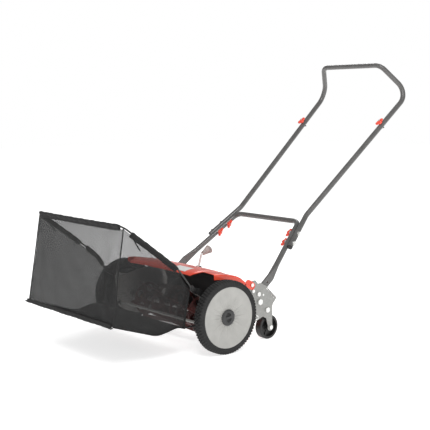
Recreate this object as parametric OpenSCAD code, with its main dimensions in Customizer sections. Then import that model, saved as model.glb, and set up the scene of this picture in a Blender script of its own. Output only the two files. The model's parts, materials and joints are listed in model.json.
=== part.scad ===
// Push reel mower with a front grass catcher.
// Millimetres. +Z up, X across the machine, -Y is the direction of travel (catcher side),
// +Y is the handle side. The origin is on the ground, midway between the two main wheels,
// straight below their axles. "left" is +X.

/* [Wheels and drive] */
// Diameter of each main wheel over the tread
wheel_d = 254; // [230:1:300]
// Width of a main tyre
tyre_w = 36; // [28:1:46]
// Radial thickness of a main tyre
tyre_t = 21; // [14:1:26]
// Space between a side plate and the wheel beside it
wheel_gap = 28.5; // [26:0.5:40]
// Diameter of the stub axles
axle_d = 18; // [12:1:22]
// Diameter of the hub caps
cap_d = 56; // [44:1:64]
// Module of the drive gears
gear_module = 2; // [1.6:0.1:2.2]
// Teeth of the ring gear in each wheel
ring_teeth = 72; // [64:4:76]
// Teeth of each pinion
pinion_teeth = 16; // [14:1:18]

/* [Cutting unit] */
// Length of the reel blades
cut_w = 460; // [380:5:560]
// Diameter swept by the reel blades
reel_d = 150; // [124:1:156]
// Height of the reel's lowest point above the ground
cut_height = 28; // [18:1:40]
// Number of reel blades
blade_count = 5; // [4:1:7]
// Turn of each blade from end to end, in degrees
blade_twist = 66; // [30:1:90]
// Thickness of each reel blade
blade_t = 3.2; // [2:0.1:5]
// Diameter of the reel shaft
shaft_d = 16; // [12:0.5:20]
// Room between the ends of the reel and the side plates
end_room = 24; // [22:1:36]
// Thickness of the side plates
plate_t = 2.5; // [2:0.1:4]
// Thickness of the sheet that the cover is pressed from
cover_t = 2; // [1.2:0.1:3]

/* [Rear wheels] */
// Diameter of the small rear wheels
rear_wheel_d = 88; // [66:1:100]
// Width of the small rear wheels
rear_wheel_w = 31; // [18:1:36]
// Distance from the main axles back to the rear axles
rear_reach = 254; // [240:1:280]
// Swing of the rear arms each way, in degrees
rear_swing = 12; // [4:1:14]

/* [Handle] */
// Outside diameter of the handle tubes
tube_d = 20; // [18:0.5:24]
// Wall of the handle tubes
tube_wall = 1.5; // [1.2:0.1:2]
// Height of the grip bar above the ground
grip_z = 1003; // [960:1:1060]
// Length of the straight part of the grip bar
grip_w = 240; // [200:1:280]
// Half the width of the handle at the upper knobs
handle_half = 218; // [200:1:240]
// Half the width of the lower frame at its cross bar
cross_half = 176; // [160:1:190]
// Diameter of the bolts that the wing knobs clamp
knob_bolt_d = 6; // [5:0.5:8]

/* [Catcher] */
// Diameter of the catcher's steel wire
wire_d = 6; // [5:0.5:8]
// Distance from the main axles forward to the catcher's front bar
catcher_reach = 386; // [340:1:440]
// Height of the catcher's front bar above the ground
catcher_z = 462; // [420:1:500]
// Depth of the catcher's front panel
catcher_drop = 318; // [260:1:340]
// Thickness of the catcher's fabric with its hems
fabric_t = 3; // [2:0.5:4]

/* [Fits] */
// Radial clearance of a shaft in its bore
run_gap = 0.05; // [0.02:0.01:0.09]
// Clearance between parts of different moving groups
free_gap = 0.3; // [0.2:0.05:0.5]

/* [Hidden] */
$fn = 72;
SIDES = [-1, 1];
wheel_r = wheel_d / 2;
rim_r = wheel_r - tyre_t;
ring_r = gear_module * ring_teeth / 2;
pinion_r = gear_module * pinion_teeth / 2;
gear_span = ring_r - pinion_r;
axle_z = wheel_r;
reel_r = reel_d / 2;
reel_z = cut_height + reel_r;
reel_y = sqrt(gear_span * gear_span - (axle_z - reel_z) * (axle_z - reel_z));
gear_angle = atan2(reel_z - axle_z, reel_y);
shaft_r = shaft_d / 2;
axle_r = axle_d / 2;

// Places across the machine, from the middle outwards
reel_x = cut_w / 2;
plate_in = reel_x + end_room;
plate_out = plate_in + plate_t;
wheel_in = plate_out + wheel_gap;
wheel_out = wheel_in + tyre_w;
gear_w = 14;
gear_in = wheel_in + 3;
gear_out = gear_in + gear_w;
web_in = wheel_out - 13;
web_t = 4;
hub_end = wheel_out - 11;
clip_t = 1.2;
axle_end = hub_end + 4;

// The bed knife touches the reel's circle this far round from straight back
knife_angle = -68;
knife_gap = 0.3;
knife_t = 3;
knife_y = reel_y + (reel_r + knife_gap) * cos(knife_angle);
knife_z = reel_z + (reel_r + knife_gap) * sin(knife_angle);
knife_depth = 40;
bar_t = 5;
bar_y0 = knife_y + 17;
bar_y1 = bar_y0 + 30;
bar_h = 42;

// Handle geometry, seen from the side
leg_slope = 39.6;
leg_flat_w = 29;
leg_flat_t = 7.4;
leg_x = plate_in - free_gap - leg_flat_t / 2;
pivot_y = 192;
pivot_z = 174;
pivot_r = 5;
cross_y = 470;
cross_bend = 34;
lap_gap = 0.5;
lap_low_y = 372;
lap_top_y = 498;
joint_y = 886;
joint_z = 762;
grip_y = 943;
grip_bend = 42;
knob_h = 14;
knob_clear = 0.4;

// Rear arms
arm_t = 2.7;
arm_x = plate_in - free_gap - arm_t;
arm_pivot_y = 198;
arm_pivot_z = 145;
arm_pivot_r = 6;
arm_bolt_y = 235;
arm_bolt_z = 111;
arm_bolt_r = 5;
rear_r = rear_wheel_d / 2;
rear_axle_r = 5;
rear_out = arm_x - 2.5;
rear_in = rear_out - rear_wheel_w;

// Catcher geometry
wire_r = wire_d / 2;
pin_r = 4;
pin_y = -114;
pin_z = 233;
bracket_t = 2.5;
wire_x = plate_out + bracket_t + free_gap + wire_r + 0.6;
eye_r = pin_r + run_gap + wire_r;
elbow_y = -170;
elbow_z = 302;
rod_r = 5;
rod_y = -58;
rod_z = 100;
rod_nut = 17;
stay_nut = 16;
panel_x = wire_x - wire_r - 4 - fabric_t;
panel_top = catcher_z - wire_r - 5;
panel_low = catcher_z - catcher_drop;
panel_low_y = -catcher_reach - 38;
mouth_y = -118;

// The floor of the catcher from its front edge back to its mouth
FLOOR = [
    [panel_low_y, panel_low],
    [-307, panel_low - 36],
    [-257, panel_low - 51],
    [-217, panel_low - 47],
    [-171, panel_low - 38],
    [mouth_y, panel_low - 52]
];

// The cover from its front lip, over the reel and down to the bed-knife bar
COVER = [
    [-58, 262], [-42, 270], [-10, 273], [34, 268], [72, 258], [104, 243], [132, 222], [152, 196],
    [161, 168], [160, 138], [150, 106], [bar_y1 + 6, 80]
];

// ---------- helpers ----------

// Unit vector
function unit(v) = v / norm(v);

// Places children, drawn along +X in (Y, Z) outline, at x on one side of the machine.
// The outline's own X is the machine's Y, and its own Y is the machine's Z.
module slab(x0, x1) {
    translate([x0, 0, 0])
        rotate([90, 0, 90])
            linear_extrude(height = x1 - x0)
                children();
}

// The same slab on the side that s names, -1 or 1
module side_slab(s, x0, x1) {
    slab(s > 0 ? x0 : -x1, s > 0 ? x1 : -x0)
        children();
}

// Round bar along X between x0 and x1
module bar(x0, x1, y, z, r) {
    translate([x0, y, z])
        rotate([0, 90, 0])
            cylinder(h = x1 - x0, r = r);
}

// The same bar on the side that s names
module side_bar(s, x0, x1, y, z, r) {
    bar(s > 0 ? x0 : -x1, s > 0 ? x1 : -x0, y, z, r);
}

// Hexagonal bolt head or nut along X on the side that s names
module side_hex(s, x0, x1, y, z, flats) {
    translate([s > 0 ? x0 : -x1, y, z])
        rotate([0, 90, 0])
            cylinder(h = x1 - x0, r = flats / 2 / cos(30), $fn = 6);
}

// Revolves a profile of [radius, distance from the middle] about the X line through (y, z)
module side_turn(s, y, z, profile) {
    translate([0, y, z])
        rotate([0, s > 0 ? 90 : -90, 0])
            rotate_extrude()
                polygon(profile);
}

// Straight tube from a to b
module straight(a, b, r, bore) {
    d = b - a;
    translate(a)
        rotate([0, acos(d[2] / norm(d)), atan2(d[1], d[0])])
            difference() {
                cylinder(h = norm(d), r = r);
                if (bore > 0)
                    translate([0, 0, -1])
                        cylinder(h = norm(d) + 2, r = bore);
            }
}

// Points where a bend of radius R at corner p begins and ends
function bend_cut(a, p, b, R) = let (u = unit(p - a), v = unit(b - p), t = acos(u * v)) R * tan(t / 2);

// Bends are this much slimmer than the straights, whose ends reach this far over them
bend_step = 0.02;
bend_lap = 0.4;

// One bend at corner p, between a straight from a and a straight to b
module elbow(a, p, b, R, r, bore) {
    u = unit(p - a);
    v = unit(b - p);
    turn = acos(u * v);
    start = p - u * R * tan(turn / 2);
    slim = r - bend_step;
    wide = bore + bend_step;
    ex = -unit(v - u * (u * v));
    ez = cross(ex, u);
    centre = start - ex * R;
    multmatrix([
        [ex[0], u[0], ez[0], centre[0]],
        [ex[1], u[1], ez[1], centre[1]],
        [ex[2], u[2], ez[2], centre[2]],
        [0, 0, 0, 1]
    ])
        rotate_extrude(angle = turn)
            translate([R, 0])
                difference() {
                    circle(r = slim);
                    if (bore > 0)
                        circle(r = wide);
                }
}

// Tube along corner points, with one bend radius for each inner corner
module bent_tube(points, bends, r, bore) {
    last = len(points) - 1;
    union() {
        for (i = [0 : last - 1]) {
            a = points[i];
            b = points[i + 1];
            cut_a = i == 0 ? 0 : bend_cut(points[i - 1], a, b, bends[i - 1]) - bend_lap;
            cut_b = i == last - 1 ? 0 : bend_cut(a, b, points[i + 2], bends[i]) - bend_lap;
            straight(a + unit(b - a) * cut_a, b - unit(b - a) * cut_b, r, bore);
        }
        for (i = [1 : last - 1])
            elbow(points[i - 1], points[i], points[i + 1], bends[i - 1], r, bore);
    }
}

// Direction across a polyline at point i, to its left
function side_way(p, i) =
    let (
        a = i > 0 ? unit(p[i] - p[i - 1]) : unit(p[1] - p[0]),
        b = i < len(p) - 1 ? unit(p[i + 1] - p[i]) : a,
        m = unit(a + b)
    )
    [-m[1], m[0]] / (m * b);

// Closed outline of a sheet of thickness t, centred on a polyline
function sheet_outline(p, t) = concat(
    [for (i = [0 : len(p) - 1]) p[i] + side_way(p, i) * t / 2],
    [for (i = [len(p) - 1 : -1 : 0]) p[i] - side_way(p, i) * t / 2]
);

// Mirrors a list of [x, y, z] points to the side that s names
function flip(points, s) = [for (p = points) [s * p[0], p[1], p[2]]];

// ---------- gears ----------

// Angle, in degrees, of the involute at a radius r from base radius rb
function inv_at(r, rb) = let (q = sqrt(max(0, r * r / rb / rb - 1))) q * 180 / PI - atan(q);

// Outline of an involute gear: half of each tooth's angle at the pitch circle is given by half
function gear_outline(teeth, root, tip, half, steps) =
    let (rp = gear_module * teeth / 2, rb = rp * cos(20), r0 = max(root, rb), k = inv_at(rp, rb))
    [for (i = [0 : teeth - 1]) for (j = [0 : 2 * steps + 1])
        let (
            up = j <= steps,
            n = up ? j : 2 * steps + 1 - j,
            r = n == 0 ? root : r0 + (tip - r0) * (n - 1) / (steps - 1),
            a = half + k - inv_at(max(r, r0), rb),
            t = 360 / teeth * i + (up ? -a : a)
        )
        r * [cos(t), sin(t)]];

backlash = 0.25;
pinion_half = 90 / pinion_teeth - backlash / pinion_r * 90 / PI;
ring_half = 90 / ring_teeth + backlash / ring_r * 90 / PI;

// ---------- colours ----------
STEEL = "silver";
ZINC = "gainsboro";
BLACK = "dimgray";
RED = "orangered";
TUBE = "gray";
CLOTH = [0.2, 0.2, 0.2];

// ---------- side plates and what is bolted to them ----------

// Where the bolts through each side plate sit, as [y, z, radius]
PLATE_BOLTS = [
    [rod_y, rod_z, rod_r], [180, 91, 5], [159, 211, 4], [166, 188, 4],
    [bar_y1 - bar_t / 2, 60, 4], [pivot_y, pivot_z, pivot_r],
    [arm_pivot_y, arm_pivot_z, arm_pivot_r], [arm_bolt_y, arm_bolt_z, arm_bolt_r]
];
STAY = PLATE_BOLTS[1];
COVER_BOLT = PLATE_BOLTS[2];
LONE_BOLT = PLATE_BOLTS[3];
BAR_BOLT = PLATE_BOLTS[4];
spigot_r = 7;
bush_r = shaft_r + 5;
leg_dir = [cos(leg_slope), sin(leg_slope)];
leg_side = [sin(leg_slope), -cos(leg_slope)];
stop_r = 4;
STOP = [pivot_y, pivot_z] + leg_dir * 14 + leg_side * (leg_flat_w / 2 + free_gap + stop_r);

module plate_outline() {
    polygon([
        [rod_y - 8, 86], [rod_y - 11, 112], [-70, 150], on_bracket(18, 9), on_bracket(18, -9),
        [-40, 206], [-20, 204],
        [30, 214], [88, 222], [124, 210], [150, 212], [166, 225], [178, 225], [190, 211],
        [201, 213], [229, 199], [281, 150], [262, 129], [256, 104], [228, 95],
        [178, 76], [150, 52], [bar_y1 + 6, 38], [bar_y0 - 16, 38], [20, 46], [-30, 62]
    ]);
}

module side_plate(s) {
    color(STEEL) {
        difference() {
            side_slab(s, plate_in, plate_out)
                difference() {
                    plate_outline();
                    translate([0, axle_z])
                        circle(r = spigot_r);
                    translate([reel_y, reel_z])
                        circle(r = bush_r);
                    for (b = PLATE_BOLTS)
                        translate([b[0], b[1]])
                            circle(r = b[2]);
                    translate(STOP)
                        circle(r = stop_r);
                    // Spare holes and slots along the rear edge
                    for (p = [[258, 162], [268, 152], [152, 176]])
                        translate(p)
                            circle(r = 2.5);
                    for (p = [[235, 187], [246, 177]])
                        translate(p)
                            rotate(-43)
                                square([9, 3.6], center = true);
                }
        }
        // Flange turned inwards along the rear corner
        side_slab(s, plate_in - 9, plate_in)
            polygon([[254, 175.4], [281, 150], [279.2, 148.1], [252.2, 173.5]]);
    }
}

module side_plate_left() {
    side_plate(1);
}

module side_plate_right() {
    side_plate(-1);
}

// Sheet-metal cover: one curved panel between the plates, with shoulders that
// reach over the plates and an ear at each end
module reel_cover() {
    half_in = plate_in - 11;
    half_out = plate_out + cover_t;
    shoulder = [for (i = [0 : 6]) COVER[i]];
    skirt = concat(shoulder, [for (i = [6 : -1 : 0]) shoulder[i] - [0, 13]]);
    color(RED)
        difference() {
            union() {
                slab(-half_in, half_in)
                    polygon(sheet_outline(COVER, cover_t));
                slab(-half_out, half_out)
                    polygon(sheet_outline(shoulder, cover_t));
                for (s = SIDES)
                    side_slab(s, plate_out, half_out)
                        difference() {
                            union() {
                                polygon(skirt);
                                polygon([[118, 232], [132, 223], [150, 228], [166, 227], [174, 213],
                                    [170, 200], [157, 194], [140, 200], [120, 216]]);
                            }
                            translate([COVER_BOLT[0], COVER_BOLT[1]])
                                circle(r = COVER_BOLT[2]);
                        }
            }
            // The lip's corners are cut back at both ends
            for (s = SIDES)
                translate([0, 0, 200])
                    linear_extrude(height = 100)
                        polygon([[s * (half_out - 74), -80], [s * (half_out + 5), -80],
                            [s * (half_out + 5), -12], [s * (half_out - 1), -16]]);
        }
}

// Hexagon-headed bolt through a side plate, with its nut inside
module plate_bolt(s, y, z, r, outer, inner, flats) {
    side_bar(s, inner, outer, y, z, r);
    side_hex(s, outer, outer + 0.7 * r + 1.2, y, z, flats);
}

module cover_bolts() {
    color(ZINC)
        for (s = SIDES) {
            plate_bolt(s, COVER_BOLT[0], COVER_BOLT[1], COVER_BOLT[2], plate_out + cover_t, plate_in - 6, 13);
            plate_bolt(s, LONE_BOLT[0], LONE_BOLT[1], LONE_BOLT[2], plate_out, plate_in - 4, 12);
        }
}

module front_rod() {
    color(STEEL)
        bar(-plate_out - 8, plate_out + 8, rod_y, rod_z, rod_r);
}

module rear_stay() {
    color(STEEL)
        union() {
            bar(-plate_out - 7, plate_out + 7, STAY[0], STAY[1], STAY[2]);
            bar(-plate_in, plate_in, STAY[0], STAY[1], STAY[2] + 3);
        }
}

// Nuts on the ends of the front rod and the rear stay
module frame_nuts() {
    color(ZINC)
        for (s = SIDES)
            for (n = [[rod_y, rod_z, rod_r, rod_nut], [STAY[0], STAY[1], STAY[2], stay_nut]])
                difference() {
                    side_hex(s, plate_out, plate_out + 5, n[0], n[1], n[3]);
                    side_bar(s, plate_out - 1, plate_out + 9, n[0], n[1], n[2]);
                }
}

module bed_bar() {
    color(RED)
        difference() {
            slab(-plate_in, plate_in)
                polygon([[bar_y0, knife_z], [bar_y1, knife_z], [bar_y1, knife_z + bar_h],
                    [bar_y1 - bar_t, knife_z + bar_h], [bar_y1 - bar_t, knife_z + bar_t],
                    [bar_y0, knife_z + bar_t]]);
            for (x = KNIFE_SCREWS)
                translate([x, bar_y0 + 8, knife_z - 1])
                    cylinder(h = bar_t + 2, r = 3);
            for (s = SIDES)
                side_bar(s, plate_in - 20, plate_in + 1, BAR_BOLT[0], BAR_BOLT[1], BAR_BOLT[2] - 2.2);
        }
}

KNIFE_SCREWS = [for (i = [-2 : 2]) i * cut_w / 5];

module bed_knife() {
    color(STEEL)
        difference() {
            slab(-reel_x, reel_x)
                polygon([[knife_y, knife_z], [knife_y + knife_depth, knife_z],
                    [knife_y + knife_depth, knife_z - knife_t], [knife_y + 2, knife_z - knife_t]]);
            for (x = KNIFE_SCREWS)
                translate([x, bar_y0 + 8, knife_z - knife_t - 1])
                    cylinder(h = knife_t + 2, r = 3);
        }
}

module bed_screws() {
    color(ZINC) {
        for (x = KNIFE_SCREWS)
            translate([x, bar_y0 + 8, 0]) {
                translate([0, 0, knife_z - knife_t])
                    cylinder(h = knife_t + bar_t, r = 3);
                translate([0, 0, knife_z - knife_t - 2.4])
                    cylinder(h = 2.4, r = 6);
            }
        for (s = SIDES) {
            side_bar(s, plate_in - 20, plate_in, BAR_BOLT[0], BAR_BOLT[1], BAR_BOLT[2] - 2.2);
            side_bar(s, plate_in, plate_out, BAR_BOLT[0], BAR_BOLT[1], BAR_BOLT[2]);
            side_hex(s, plate_out, plate_out + 4, BAR_BOLT[0], BAR_BOLT[1], 13);
        }
    }
}

// Flanged bushes that carry the reel shaft in the side plates
module reel_bearings() {
    color("peru")
        for (s = SIDES)
            side_turn(s, reel_y, reel_z, [
                [shaft_r + run_gap, plate_in - 8], [bush_r, plate_in - 8], [bush_r, plate_out],
                [bush_r + 5, plate_out], [bush_r + 5, plate_out + 2.5],
                [shaft_r + run_gap, plate_out + 2.5]
            ]);
}

flange_r = axle_r + 13;

module stub_axle(s) {
    groove = hub_end + free_gap;
    color(STEEL)
        side_turn(s, 0, axle_z, [
            [0, plate_in - 5], [spigot_r + 5, plate_in - 5], [spigot_r + 5, plate_in], [spigot_r, plate_in],
            [spigot_r, plate_out], [flange_r, plate_out], [flange_r, plate_out + 4],
            [axle_r, plate_out + 4], [axle_r, groove], [axle_r - 1.2, groove],
            [axle_r - 1.2, groove + clip_t], [axle_r, groove + clip_t], [axle_r, axle_end - 1],
            [axle_r - 1, axle_end], [0, axle_end]
        ]);
}

module axle_left() {
    stub_axle(1);
}

module axle_right() {
    stub_axle(-1);
}

module axle_clips() {
    color("dimgray")
        for (s = SIDES)
            side_turn(s, 0, axle_z, [
                [axle_r - 1.2, hub_end + free_gap], [axle_r + 3, hub_end + free_gap],
                [axle_r + 3, hub_end + free_gap + clip_t], [axle_r - 1.2, hub_end + free_gap + clip_t]
            ]);
}

drum_r = ring_r + 1.25 * gear_module + 5;
case_r = drum_r + 8;

// Moulded cover that keeps grass out of the gears
module gear_case(s) {
    color("black")
        difference() {
            side_turn(s, 0, axle_z, [
                [flange_r, plate_out], [case_r, plate_out], [case_r, wheel_in + 7],
                [case_r - 2.5, wheel_in + 7], [case_r - 2.5, plate_out + 2.5], [flange_r, plate_out + 2.5]
            ]);
            side_bar(s, plate_out - 1, plate_out + 4, reel_y, reel_z, bush_r + 5);
            side_bar(s, plate_out - 1, plate_out + 4, rod_y, rod_z, rod_nut / 2 / cos(30) + free_gap);
        }
}

module gear_case_left() {
    gear_case(1);
}

module gear_case_right() {
    gear_case(-1);
}

// Channel arms that carry the catcher's pins, one on each side plate
bracket_foot = [-56, 199];
bracket_dir = unit([pin_y, pin_z] - bracket_foot);
bracket_up = [-bracket_dir[1], bracket_dir[0]];
bracket_len = norm([pin_y, pin_z] - bracket_foot);
channel_w = 22;
channel_len = bracket_len - 20;
channel_depth = 13;

function on_bracket(a, b) = bracket_foot + bracket_dir * a + bracket_up * b;

module bracket_box(a0, a1, b0, b1) {
    polygon([on_bracket(a0, b0), on_bracket(a1, b0), on_bracket(a1, b1), on_bracket(a0, b1)]);
}

module catcher_brackets() {
    web = plate_out + bracket_t;
    color(STEEL)
        for (s = SIDES)
            union() {
                side_slab(s, plate_out, web) {
                    bracket_box(4, channel_len, -channel_w / 2, channel_w / 2);
                    bracket_box(channel_len - 1, bracket_len, -9, 9);
                    translate([pin_y, pin_z])
                        circle(r = 9);
                }
                for (e = SIDES)
                    side_slab(s, web - 1, web + channel_depth)
                        bracket_box(4, channel_len, e * (channel_w / 2) - (e > 0 ? 2 : 0),
                            e * (channel_w / 2) + (e > 0 ? 0 : 2));
                side_bar(s, web - 1, wire_x + wire_r + 1, pin_y, pin_z, pin_r);
                side_bar(s, wire_x + wire_r + 1, wire_x + wire_r + 3, pin_y, pin_z, pin_r + 3);
            }
}

module bracket_pads() {
    web = plate_out + bracket_t;
    color("black")
        for (s = SIDES)
            side_slab(s, web, web + channel_depth - 1)
                bracket_box(6, channel_len - 2, -channel_w / 2 + 2, channel_w / 2 - 2);
}

// ---------- main wheels and gears ----------

module tyre(s) {
    color(BLACK)
        side_turn(s, 0, axle_z, [
            [rim_r, wheel_in + 1], [rim_r + 4, wheel_in], [wheel_r - 5, wheel_in], [wheel_r, wheel_in + 6],
            [wheel_r, wheel_out - 6], [wheel_r - 5, wheel_out], [rim_r + 4, wheel_out], [rim_r, wheel_out - 1]
        ]);
}

module wheel(s) {
    cap_r = cap_d / 2;
    hub_r = axle_r + 8;
    color("lightgray")
        union() {
            side_turn(s, 0, axle_z, [
                [axle_r + run_gap, wheel_in + 2], [hub_r, wheel_in + 2], [hub_r, web_in],
                [rim_r - 8, web_in + 3], [rim_r - 8, wheel_in + 1], [rim_r, wheel_in + 1],
                [rim_r, wheel_out - 1], [rim_r - 5, wheel_out - 1], [rim_r - 8, web_in + 3 + web_t],
                [cap_r, web_in + web_t], [cap_r, hub_end], [axle_r + run_gap, hub_end]
            ]);
            translate([0, 0, axle_z])
                side_slab(s, gear_in, web_in + 4)
                    difference() {
                        circle(r = drum_r);
                        circle(r = drum_r - 4);
                    }
            translate([0, 0, axle_z])
                side_slab(s, gear_in, gear_out)
                    difference() {
                        circle(r = drum_r);
                        rotate(gear_angle)
                            polygon(gear_outline(ring_teeth, ring_r - gear_module,
                                ring_r + 1.25 * gear_module, ring_half, 3));
                    }
        }
}

module hub_cap(s) {
    cap_r = cap_d / 2;
    inner = axle_r + 4;
    color("darkslategray")
        side_turn(s, 0, axle_z, [
            [inner, hub_end], [cap_r, hub_end], [cap_r, wheel_out - 3], [cap_r - 4, wheel_out + 1],
            [0, wheel_out + 2], [0, axle_end + 2], [inner, axle_end + 2]
        ]);
}

module tyre_left() {
    tyre(1);
}

module tyre_right() {
    tyre(-1);
}

module wheel_left() {
    wheel(1);
}

module wheel_right() {
    wheel(-1);
}

module hub_cap_left() {
    hub_cap(1);
}

module hub_cap_right() {
    hub_cap(-1);
}

module pinion(s) {
    color("goldenrod")
        translate([0, reel_y, reel_z])
            side_slab(s, gear_in, gear_out)
                difference() {
                    rotate(gear_angle)
                        polygon(gear_outline(pinion_teeth, pinion_r - 1.25 * gear_module,
                            pinion_r + gear_module, pinion_half, 4));
                    circle(r = shaft_r + run_gap);
                }
}

module pinion_left() {
    pinion(1);
}

module pinion_right() {
    pinion(-1);
}

// ---------- reel ----------

module reel_shaft() {
    end = gear_out + 1;
    color(STEEL)
        difference() {
            bar(-end, end, reel_y, reel_z, shaft_r);
            for (s = SIDES)
                side_slab(s, gear_in - pawl_room, gear_in - pawl_room + pawl_w)
                    translate([reel_y, reel_z])
                        square([3, shaft_d + 2], center = true);
        }
}

pawl_w = 3.4;
pawl_room = 4.6;

// Flat pawls that slide through the shaft and drive it from the pinions
module drive_pawls() {
    color("dimgray")
        for (s = SIDES)
            side_slab(s, gear_in - pawl_room, gear_in - pawl_room + pawl_w)
                translate([reel_y, reel_z])
                    square([3, shaft_d + 6], center = true);
}

spider_r = reel_r - 13;
spider_t = 3;
SPIDERS = [for (i = [-2 : 2]) i * (cut_w - 20) / 4];

module reel_spiders() {
    color(RED)
        for (x = SPIDERS)
            union() {
                slab(x - spider_t / 2, x + spider_t / 2)
                    translate([reel_y, reel_z])
                        difference() {
                            circle(r = spider_r);
                            circle(r = shaft_r);
                            for (i = [0 : blade_count - 1])
                                rotate(360 / blade_count * (i + 0.5) + blade_twist * x / cut_w)
                                    translate([spider_r * 0.66, 0])
                                        circle(r = spider_r * 0.24);
                        }
                difference() {
                    bar(x - 7, x + 7, reel_y, reel_z, shaft_r + 4);
                    bar(x - 8, x + 8, reel_y, reel_z, shaft_r);
                }
            }
}

module reel_blades() {
    color(RED)
        translate([-reel_x, reel_y, reel_z])
            rotate([90, 0, 90])
                for (i = [0 : blade_count - 1])
                    rotate(360 / blade_count * i - blade_twist / 2)
                        linear_extrude(height = cut_w, twist = -blade_twist, slices = 24, segments = 4)
                            polygon([[spider_r - 2, -blade_t], [reel_r - 1.5, -blade_t / 2 + 2],
                                [reel_r - 0.2, blade_t / 2 + 2], [spider_r - 2, 0]]);
}

// ---------- rear wheels ----------

// Sector between two radii, from angle a0 to a1
module sector(r0, r1, a0, a1) {
    far = r1 * 1.5;
    intersection() {
        difference() {
            circle(r = r1);
            circle(r = r0);
        }
        polygon([[0, 0], far * [cos(a0), sin(a0)], far * [cos((a0 + a1) / 2), sin((a0 + a1) / 2)],
            far * [cos(a1), sin(a1)]]);
    }
}

// Arc-shaped block for cutting slots: through x0 to x1, radii r0 to r1 about (y, z)
module arc_block(s, x0, x1, y, z, r0, r1, a0, a1) {
    translate([s > 0 ? x0 : -x1, y, z])
        rotate([90, 0, 90])
            rotate_extrude(angle = a1 - a0, start = a0)
                translate([r0, 0])
                    square([r1 - r0, x1 - x0]);
}

module rear_arm(s) {
    bolt = [arm_bolt_y - arm_pivot_y, arm_bolt_z - arm_pivot_z];
    reach = norm(bolt);
    aim = atan2(bolt[1], bolt[0]);
    slot_r = arm_bolt_r + free_gap;
    span = rear_swing + asin(slot_r / reach) + 1;
    far = arm_x + arm_t;
    color(STEEL)
        difference() {
            union() {
                side_slab(s, arm_x, far)
                    polygon([[190, 138], [199, 156], [250, 141], [262, 128], [rear_reach + 9, rear_r - 3],
                        [rear_reach - 9, rear_r - 3], [233, 80], [214, 90], [202, 112]]);
                side_bar(s, arm_x, far, arm_pivot_y, arm_pivot_z, 14);
                side_bar(s, arm_x, far, rear_reach, rear_r, 12.5);
            }
            side_bar(s, arm_x - 1, far + 1, arm_pivot_y, arm_pivot_z, arm_pivot_r + run_gap);
            side_bar(s, arm_x - 1, far + 1, rear_reach, rear_r, rear_axle_r);
            arc_block(s, arm_x - 1, far + 1, arm_pivot_y, arm_pivot_z, reach - slot_r, reach + slot_r,
                aim - span, aim + span);
        }
}

module rear_arm_left() {
    rear_arm(1);
}

module rear_arm_right() {
    rear_arm(-1);
}

module rear_axle(s) {
    color(ZINC) {
        side_bar(s, rear_in - 4, arm_x + arm_t, rear_reach, rear_r, rear_axle_r);
        side_hex(s, arm_x + arm_t, arm_x + arm_t + 5, rear_reach, rear_r, 15);
        side_hex(s, rear_in - 5, rear_in - 1, rear_reach, rear_r, 15);
    }
}

module rear_axle_left() {
    rear_axle(1);
}

module rear_axle_right() {
    rear_axle(-1);
}

module rear_wheel(s) {
    mid = (rear_in + rear_out) / 2;
    rim = rear_r - 9;
    hub = 12;
    bore = rear_axle_r + run_gap;
    // Five pockets in each face leave spokes that stand on a thin web
    web_face = 5;
    web_floor = 1.5;
    color("black")
        difference() {
            side_turn(s, rear_reach, rear_r, [
                [bore, rear_in], [hub, rear_in], [hub, mid - web_face], [rim, mid - web_face],
                [rim, rear_in + 2], [rear_r - 2, rear_in + 2], [rear_r, rear_in + 4],
                [rear_r, rear_out - 4], [rear_r - 2, rear_out - 2], [rim, rear_out - 2],
                [rim, mid + web_face], [hub, mid + web_face], [hub, rear_out], [bore, rear_out]
            ]);
            for (pocket = [[-web_face - 1, -web_floor], [web_floor, web_face + 1]])
                for (i = [0 : 4])
                    side_slab(s, mid + pocket[0], mid + pocket[1])
                        translate([rear_reach, rear_r])
                            rotate(72 * i)
                                sector(hub + 3, rim - 2, -29, 29);
        }
}

module rear_wheel_left() {
    rear_wheel(1);
}

module rear_wheel_right() {
    rear_wheel(-1);
}

// Bolts that the rear arms turn on and clamp with
module arm_bolts() {
    color(ZINC)
        for (s = SIDES) {
            plate_bolt(s, arm_pivot_y, arm_pivot_z, arm_pivot_r, plate_out, arm_x - 1, 20);
            side_hex(s, arm_x - 5, arm_x - 1, arm_pivot_y, arm_pivot_z, 14);
            plate_bolt(s, arm_bolt_y, arm_bolt_z, arm_bolt_r, plate_out, arm_x - 1, 18);
            side_hex(s, arm_x - 5, arm_x - 1, arm_bolt_y, arm_bolt_z, 14);
        }
}

// ---------- handle ----------

tube_r = tube_d / 2;
bore_r = tube_r - tube_wall;
leg_rate = (cross_half - leg_x) / (cross_y - 250);

// Point on the lower frame's leg line at y, on the side that s names
function leg_at(s, y) = [
    s * (leg_x + leg_rate * (y - 250)), y, pivot_z + (y - pivot_y) * tan(leg_slope)
];

leg_unit = unit(leg_at(1, 400) - leg_at(1, 300));
leg_square = sqrt(1 - leg_unit[0] * leg_unit[0]);
lap_shift = (tube_d + lap_gap) / leg_square;
knob_r = 8.5;
// Distance inwards from a lapped leg's middle to the foot of its knob
low_seat = (tube_r + knob_r * abs(leg_unit[0])) / leg_square + knob_clear;

// Point on the middle leg's lapped end at y
function lap_at(s, y) = leg_at(s, y) + [s * lap_shift, 0, 0];

LAP_BOLTS = [387, 424];
function joint_at(s) = [s * handle_half, joint_y, joint_z];
function mid_unit(s) = unit(joint_at(s) - lap_at(s, lap_top_y));
function joint_up(s) = unit([0, -mid_unit(s)[2], mid_unit(s)[1]]);
joint_lap = 14;

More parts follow.
